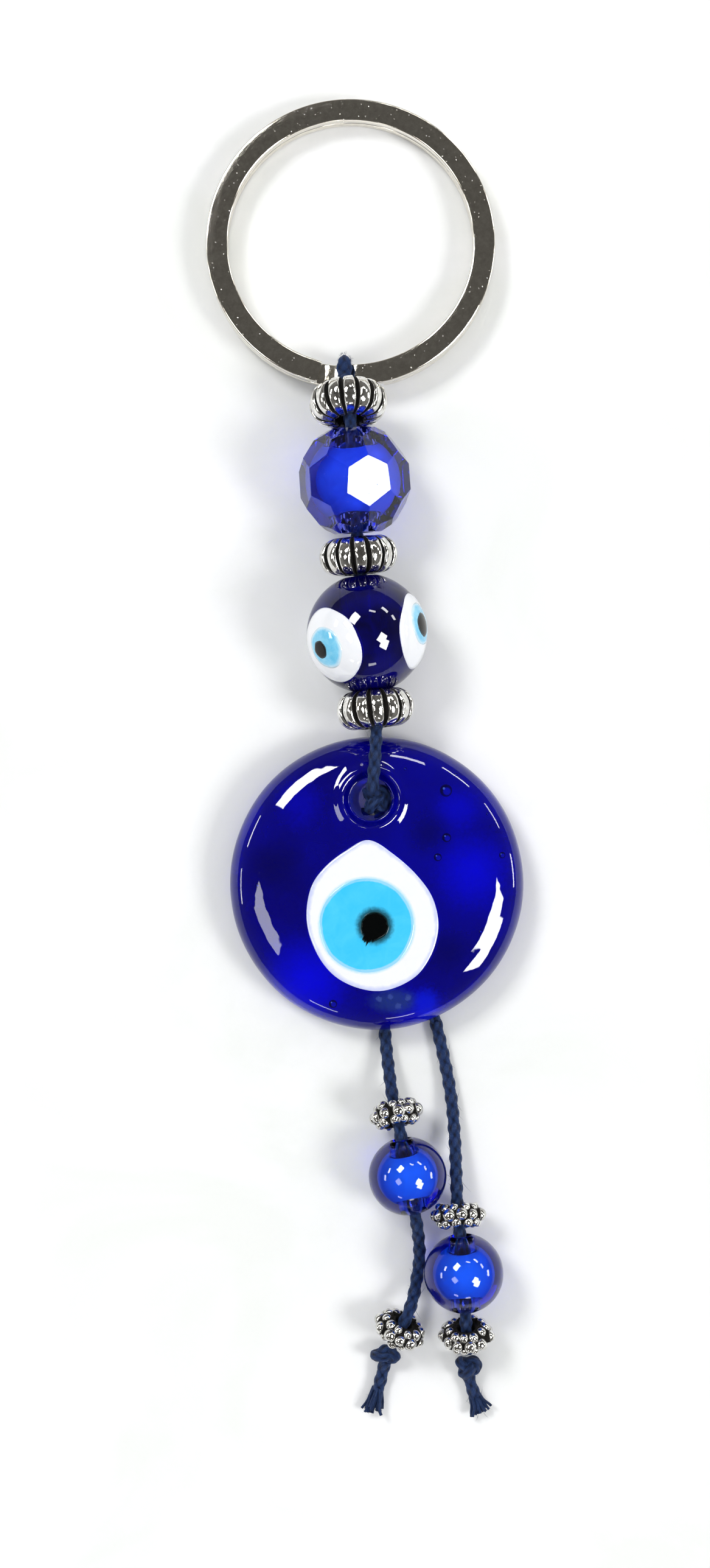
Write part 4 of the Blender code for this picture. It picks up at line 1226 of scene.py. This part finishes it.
def eye_bead(glass, white, iris, pupil):
    joint = JOINTS["eye_bead_spin"]
    turn = seat(joint["pos_m"], joint["axis"])
    ball = bored_shape(EYE_BEAD_R, STEM_BORE_R, 64, 120, 0.05, 0.28, 11, lip=0.3)
    closed_piece(ball, "eye_bead_ball", glass, turn, "eye_bead_glass", "eye_bead")
    along = Vector(joint["axis"])
    side = along.cross(Vector((0.0, 0.0, 1.0))).normalized()
    up = side.cross(along)
    kinds = (("white", 6.23, 5.3, 6.06, white, "white_glass", 0.05),
             ("iris", 6.27, 5.8, 6.24, iris, "light_blue_glass", 0.08),
             ("pupil", 6.30, 6.0, 6.27, pupil, "black_glass", 0.12))
    for k, spots in enumerate(EYE_SPOTS, 1):
        for (name, radius, floor_r, edge, look, slot, uneven), (azimuth, low, half_deg) in zip(kinds, spots):
            around, drop = math.radians(azimuth), math.radians(low)
            out = (up * math.cos(around) + side * math.sin(around)) * math.cos(drop) + along * math.sin(drop)
            spot = Shape()
            cap(spot, radius, half_deg, floor_r, edge, k * 3.7 + half_deg, uneven)
            node = f"bead_eye_{k}_{name}"
            closed_piece(spot, node + "_spot", look, seat(joint["pos_m"], out), node, "eye_bead")


# ---------------------------------------------------------------- disc

DISC_THICK = 4.55
DOME_DROP = 1.036e-8  # the front falls by this much times the seventh power of the distance from its middle
RIM_FIRST_DEG = 22.0  # the rim's rounding starts here, at the dome's own slope
RIM_SLOPE = 0.457
RIM_WIDTH = 1.55  # the dome ends this far inside the disc's edge
BACK_ROUND_R = 1.2
BUBBLE_COUNT = 28
HOLE_R = 2.25
HOLE_TAPER = 0.55  # the hole is narrower at the back
HOLE_LEAN = 0.45  # and narrower still on its left
# The larger air bubbles in the disc: (x, y, radius)
BUBBLES = [
    (8.35, -23.2, 0.62), (8.4, -28.0, 0.45), (7.5, -30.0, 0.40), (14.1, -29.8, 0.32), (-3.2, -45.0, 0.42),
    (11.9, -37.6, 0.18), (4.2, -21.0, 0.16), (9.4, -21.6, 0.18), (-10.9, -32.9, 0.20), (12.6, -25.6, 0.14),
]
WHITE_OUTLINE = [
    (-0.35, 7.85), (2.3, 6.35), (4.6, 4.25), (6.2, 1.85), (6.78, -0.9), (6.2, -3.6), (4.7, -5.9),
    (2.4, -7.25), (0.3, -7.6), (-2.2, -7.0), (-4.3, -5.65), (-5.95, -3.2), (-6.75, -0.2), (-6.3, 2.9),
    (-4.9, 5.05), (-2.7, 6.75),
]
WHITE_CENTRE = (0.82, -36.08)
IRIS_CENTRE = (0.26, -36.95)
IRIS_R = 4.8
PUPIL_CENTRE = (1.07, -37.0)
PUPIL_R = 1.45


def disc_facts():
    """The disc's middle, radius and back, in millimetres, and the hole's middle, read from the frame."""
    low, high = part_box("disc_glass")
    middle = (low + high) / 2 / MM
    hole = JOINTS["disc_swing"]["pos_m"]
    return (middle.x, middle.y), (high - low).x / 2 / MM, low.z / MM, (hole[0] / MM, hole[1] / MM)


def disc_top(x, y, centre, back):
    r2 = (x - centre[0]) ** 2 + (y - centre[1]) ** 2
    return back + DISC_THICK - DOME_DROP * r2 ** 3.5


def disc_glass(look):
    """Cast glass: a low dome with a fire-polished rim and a soft lip round its hole, and bubbles inside."""
    centre, radius, back, hole = disc_facts()
    sides = 168
    angles = angles_round(sides)
    edge_r = radius - RIM_WIDTH
    rows = []

    def ring(share, outer_r, height):
        """A ring of points between the hole and a circle of outer_r; height is a number or the dome's own."""
        row = []
        for a in angles:
            hx, hy = hole[0] + HOLE_R * math.cos(a), hole[1] + HOLE_R * math.sin(a)
            ox, oy = centre[0] + outer_r * math.cos(a), centre[1] + outer_r * math.sin(a)
            x, y = hx + (ox - hx) * share, hy + (oy - hy) * share
            if height is None:
                gap = math.hypot(x - hole[0], y - hole[1]) - HOLE_R
                z = disc_top(x, y, centre, back)
                z += 0.20 * math.exp(-((gap - 1.0) / 0.55) ** 2) - 0.70 * math.exp(-(gap / 0.40) ** 2)
            else:
                z = height
            row.append((x, y, z))
        return row

    for i in range(74):
        share = (i / 73) ** 1.7
        rows.append(ring(share, edge_r, None))
    top_edge = disc_top(centre[0] + edge_r, centre[1], centre, back) - back
    first = math.radians(RIM_FIRST_DEG)
    wide = (radius - edge_r) / (1 - math.sin(first))
    tall = wide * RIM_SLOPE / math.tan(first)
    for k in range(1, 19):
        a = first + (math.pi / 2 - first) * k / 18
        z = back + top_edge - tall * (math.cos(first) - math.cos(a))
        rows.append(ring(1.0, radius - wide * (1 - math.sin(a)), z))
    low_edge = rows[-1][0][2] - back
    for k in range(1, 11):
        a = math.pi / 2 * k / 10
        rows.append(ring(1.0, radius - BACK_ROUND_R * (1 - math.cos(a)), back + low_edge * (1 - math.sin(a))))
    for share in np.linspace(0.93, 0.06, 22):
        rows.append(ring(share, radius - BACK_ROUND_R, back))
    for height in (0.05, 0.3, 0.9, 1.6, 2.3, 2.9, 3.4):
        rows.append([])
        for a in angles:
            r = HOLE_R - (HOLE_TAPER + HOLE_LEAN * max(0.0, -math.cos(a))) * (1 - height / 3.6)
            rows[-1].append((hole[0] + r * math.cos(a), hole[1] + r * math.sin(a), back + height))
    points = np.array(rows)
    keep = points[..., 2:].copy()
    points = wander(points, 0.08, 0.13, 4)
    points = wander(points, 0.006, 0.7, 9)
    flat = keep < back + 0.02
    points[..., 2:] = np.where(flat, keep, points[..., 2:])
    shape = Shape()
    shape.grid(points, wrap_rows=True, flip=True)
    for x, y, z, r in bubble_places(centre, back):
        tall = random.Random(int(x * 100)).uniform(0.8, 1.0)
        half_turn = np.linspace(0.02, math.pi - 0.02, 12)
        ball = turned([(r * math.sin(t), r * math.cos(t) * tall) for t in half_turn], 18)
        shape.grid(ball + np.array([x, y, z]), caps=True)
    obj = shape.build("disc_cast_glass", look, Matrix.Scale(MM, 4))
    finish_piece(obj, ["disc_glass"], body="disc")


def bubble_places(centre, back):
    """Air bubbles in the disc: (x, y, z, radius)."""
    rng = random.Random(21)
    out = [(x, y, back + 2.6, r) for x, y, r in BUBBLES]
    while len(out) < BUBBLE_COUNT:  # the small ones keep clear of the eye and the hole
        a, r = rng.uniform(0, 2 * math.pi), 13.0 * math.sqrt(rng.random())
        x, y = r * math.cos(a), r * math.sin(a)
        if math.hypot(x + 0.46, y + 3.35) > 8.6 and math.hypot(x + 0.59, y - 8.65) > 3.8:
            out.append((centre[0] + x, centre[1] + y, back + rng.uniform(0.9, 3.4), rng.uniform(0.06, 0.16)))
    return out


def spline_loop(points, per):
    """A smooth closed line through points."""
    pts = [Vector((x, y)) for x, y in points]
    out = []
    for i, b in enumerate(pts):
        a, c, d = pts[i - 1], pts[(i + 1) % len(pts)], pts[(i + 2) % len(pts)]
        out += [tuple(on_curve(a, b, c, d, k / per)) for k in range(per)]
    return out


def melted_inlay(name, node, outline, middle, lift, depth, look, flare=0.0, edge=0.05):
    """A piece of coloured glass melted into the disc's face, with a rounded edge that sinks into the glass."""
    centre, _, back, _ = disc_facts()
    line = np.array(outline)
    size = np.linalg.norm(line, axis=1, keepdims=True)
    unit = line / size
    rows, reach = [], []
    for share in np.linspace(0.02, 0.90, 14) ** 0.8:
        rows.append((line * share, lift))
        reach.append(share)
    for k in range(0, 7):
        a = math.pi / 2 * k / 6
        rows.append((unit * (size - 0.22 * (1 - math.sin(a))), lift - edge * (1 - math.cos(a)) * 1.6))
    rows.append((unit * (size + flare * 0.6), lift - edge * 1.6 - depth * 0.25))
    rows.append((unit * (size + flare), lift - depth * 0.55))
    rows.append((unit * (size + flare * 0.4), lift - depth * 0.9))
    rows.append((unit * (size * 0.7), lift - depth))
    rows.append((unit * (size * 0.3), lift - depth))
    grid = []
    for flat, height in rows:
        x, y = flat[:, 0] + middle[0], flat[:, 1] + middle[1]
        z = disc_top(x, y, centre, back) + height
        grid.append(np.stack([x, y, z], axis=1))
    shape = Shape()
    depths = np.repeat(np.array(reach + [1.0] * (len(rows) - len(reach)))[:, None], len(outline), axis=1)
    shape.grid(wander(np.array(grid), 0.02, 0.5, len(outline)), depths, caps=True)
    closed_piece(shape, name, look, Matrix.Scale(MM, 4), node, "disc")


def wavy_circle(radius, sides, amount, scale, seed):
    """A round outline with a wavering edge."""
    out = []
    for k in range(sides):
        a = 2 * math.pi * k / sides
        r = radius * (1 + amount * noise.noise(Vector((math.cos(a) * scale, math.sin(a) * scale, seed))))
        out.append((r * math.sin(a), r * math.cos(a)))
    return out


def pupil_outline():
    """The pupil: round, with a short ragged run at its lower left where the black glass bled."""
    out = []
    for x, y in wavy_circle(PUPIL_R, 120, 0.06, 2.2, 8.0):
        a = math.atan2(y, x)
        run = math.exp(-((a + math.radians(118)) / 0.42) ** 2)
        teeth = max(0.0, noise.noise(Vector((math.cos(a) * 13.0, math.sin(a) * 13.0, 2.0))) + 0.25)
        grow = 1 + run * (0.22 + 0.60 * teeth)
        out.append((x * grow, y * grow))
    return out


def disc(glass, white, iris, pupil):
    disc_glass(glass)
    melted_inlay("disc_white_drop", "disc_white", spline_loop(WHITE_OUTLINE, 8), WHITE_CENTRE, 0.10, 1.3, white,
                 flare=0.22, edge=0.10)
    melted_inlay("disc_iris_spot", "disc_iris", wavy_circle(IRIS_R, 120, 0.022, 1.6, 3.0), IRIS_CENTRE, 0.13, 0.8,
                 iris, edge=0.025)
    melted_inlay("disc_pupil_spot", "disc_pupil", pupil_outline(), PUPIL_CENTRE, 0.15, 0.5, pupil,
                 edge=0.02)


# ---------------------------------------------------------------- the charm


def charm():
    rng = random.Random(12)
    cord = cord_look()
    silver = silver_look("antique_silver")
    granules = silver_look("granulated_silver", 0.50, ((0.50, 0.485, 0.45), (0.82, 0.81, 0.78)))
    cobalt = cobalt_look("cobalt_disc_glass", (0.002, 0.000, 0.26), (0.002, 0.001, 0.44), 0.55,
                         (0.40, 0.45, 0.05))
    disc_painted_light_and_marks(cobalt)
    deep_cobalt = cobalt_look("cobalt_bead_glass", (0.002, 0.001, 0.075), (0.003, 0.002, 0.26), 0.6,
                              (0.35, 0.38, 0.10), patch_scale=0.30, painted_rim_tone=(0.002, 0.002, 0.12)).material
    shell = glass_look("clear_blue_acrylic", (0.34, 0.31, 0.06))
    round_shell = glass_look("clear_blue_round", (0.78, 0.62, 0.13))
    core = core_look("bright_blue_core", (0.026, 0.130, 0.66), (0.050, 0.190, 0.82))
    round_core = core_look("sky_blue_core", (0.12, 0.74, 1.0), (0.18, 0.84, 1.0))
    white, bead_white = [enamel_look(name, (0.90, 0.91, 0.935), (0.80, 0.82, 0.87), mottled=0.25,
                                     edge=(0.62, 0.66, 0.92), edge_from=0.93)
                         for name in ("white_glass", "bead_white_glass")]
    azure = enamel_look("azure_glass", (0.045, 0.56, 0.92), (0.085, 0.64, 0.96), scale=0.5, mottled=0.8,
                        edge=(0.32, 0.68, 0.95), edge_from=0.95)
    pale = enamel_look("pale_cyan_glass", (0.14, 0.56, 0.84), (0.36, 0.76, 0.94), scale=0.9, mottled=0.8,
                       edge=(0.75, 0.88, 0.95), edge_from=0.80)
    black = enamel_look("black_glass", (0.0005, 0.001, 0.001), (0.002, 0.002, 0.002), edge=(0.006, 0.03, 0.035),
                        edge_from=0.86, shine=0.0)
    brown_black = enamel_look("brown_black_glass", (0.003, 0.002, 0.002), (0.008, 0.006, 0.005),
                              edge=(0.05, 0.09, 0.11), edge_from=0.80, shine=0.0)
    stain_and_painted_light_near(azure, PUPIL_CENTRE, PUPIL_R + 0.05, PUPIL_R + 0.75, (0.012, 0.10, 0.15))
    stain_and_painted_light_near(white, IRIS_CENTRE, IRIS_R - 0.10, IRIS_R + 0.32, (0.42, 0.74, 0.95), ragged=0.2)
    stem_cord(cord, rng)
    left, right = end_pieces(cord, rng)
    for pieces, name, joint, seed in ((left, "left_spacer_upper", "left_spacer_slide", 31),
                                      (left, "left_spacer_lower", "left_spacer_lower_spin", 32),
                                      (right, "right_spacer_upper", "right_spacer_upper_spin", 33),
                                      (right, "right_spacer_lower", "right_spacer_lower_spin", 34)):
        pieces.append(spacer(name, granules, JOINTS[joint]["axis"], seed))
    left += tail_bead("left_bead", round_shell, round_core, 41)
    right += tail_bead("right_bead", round_shell, round_core, 43)
    tail_cord("left", LEFT_BEHIND, LEFT_TAIL, cord, rng, -0.0479)
    tail_cord("right", RIGHT_BEHIND, RIGHT_TAIL, cord, rng, -0.0471)
    key_ring(steel_look())
    for k, name in enumerate(("rondelle_top", "rondelle_middle", "rondelle_bottom")):
        rondelle(name, silver, 51 + k)
    faceted_bead(shell, core)
    eye_bead(deep_cobalt, bead_white.material, pale.material, brown_black.material)
    disc(cobalt.material, white.material, azure.material, black.material)


camera()
lights()
floor()
charm()
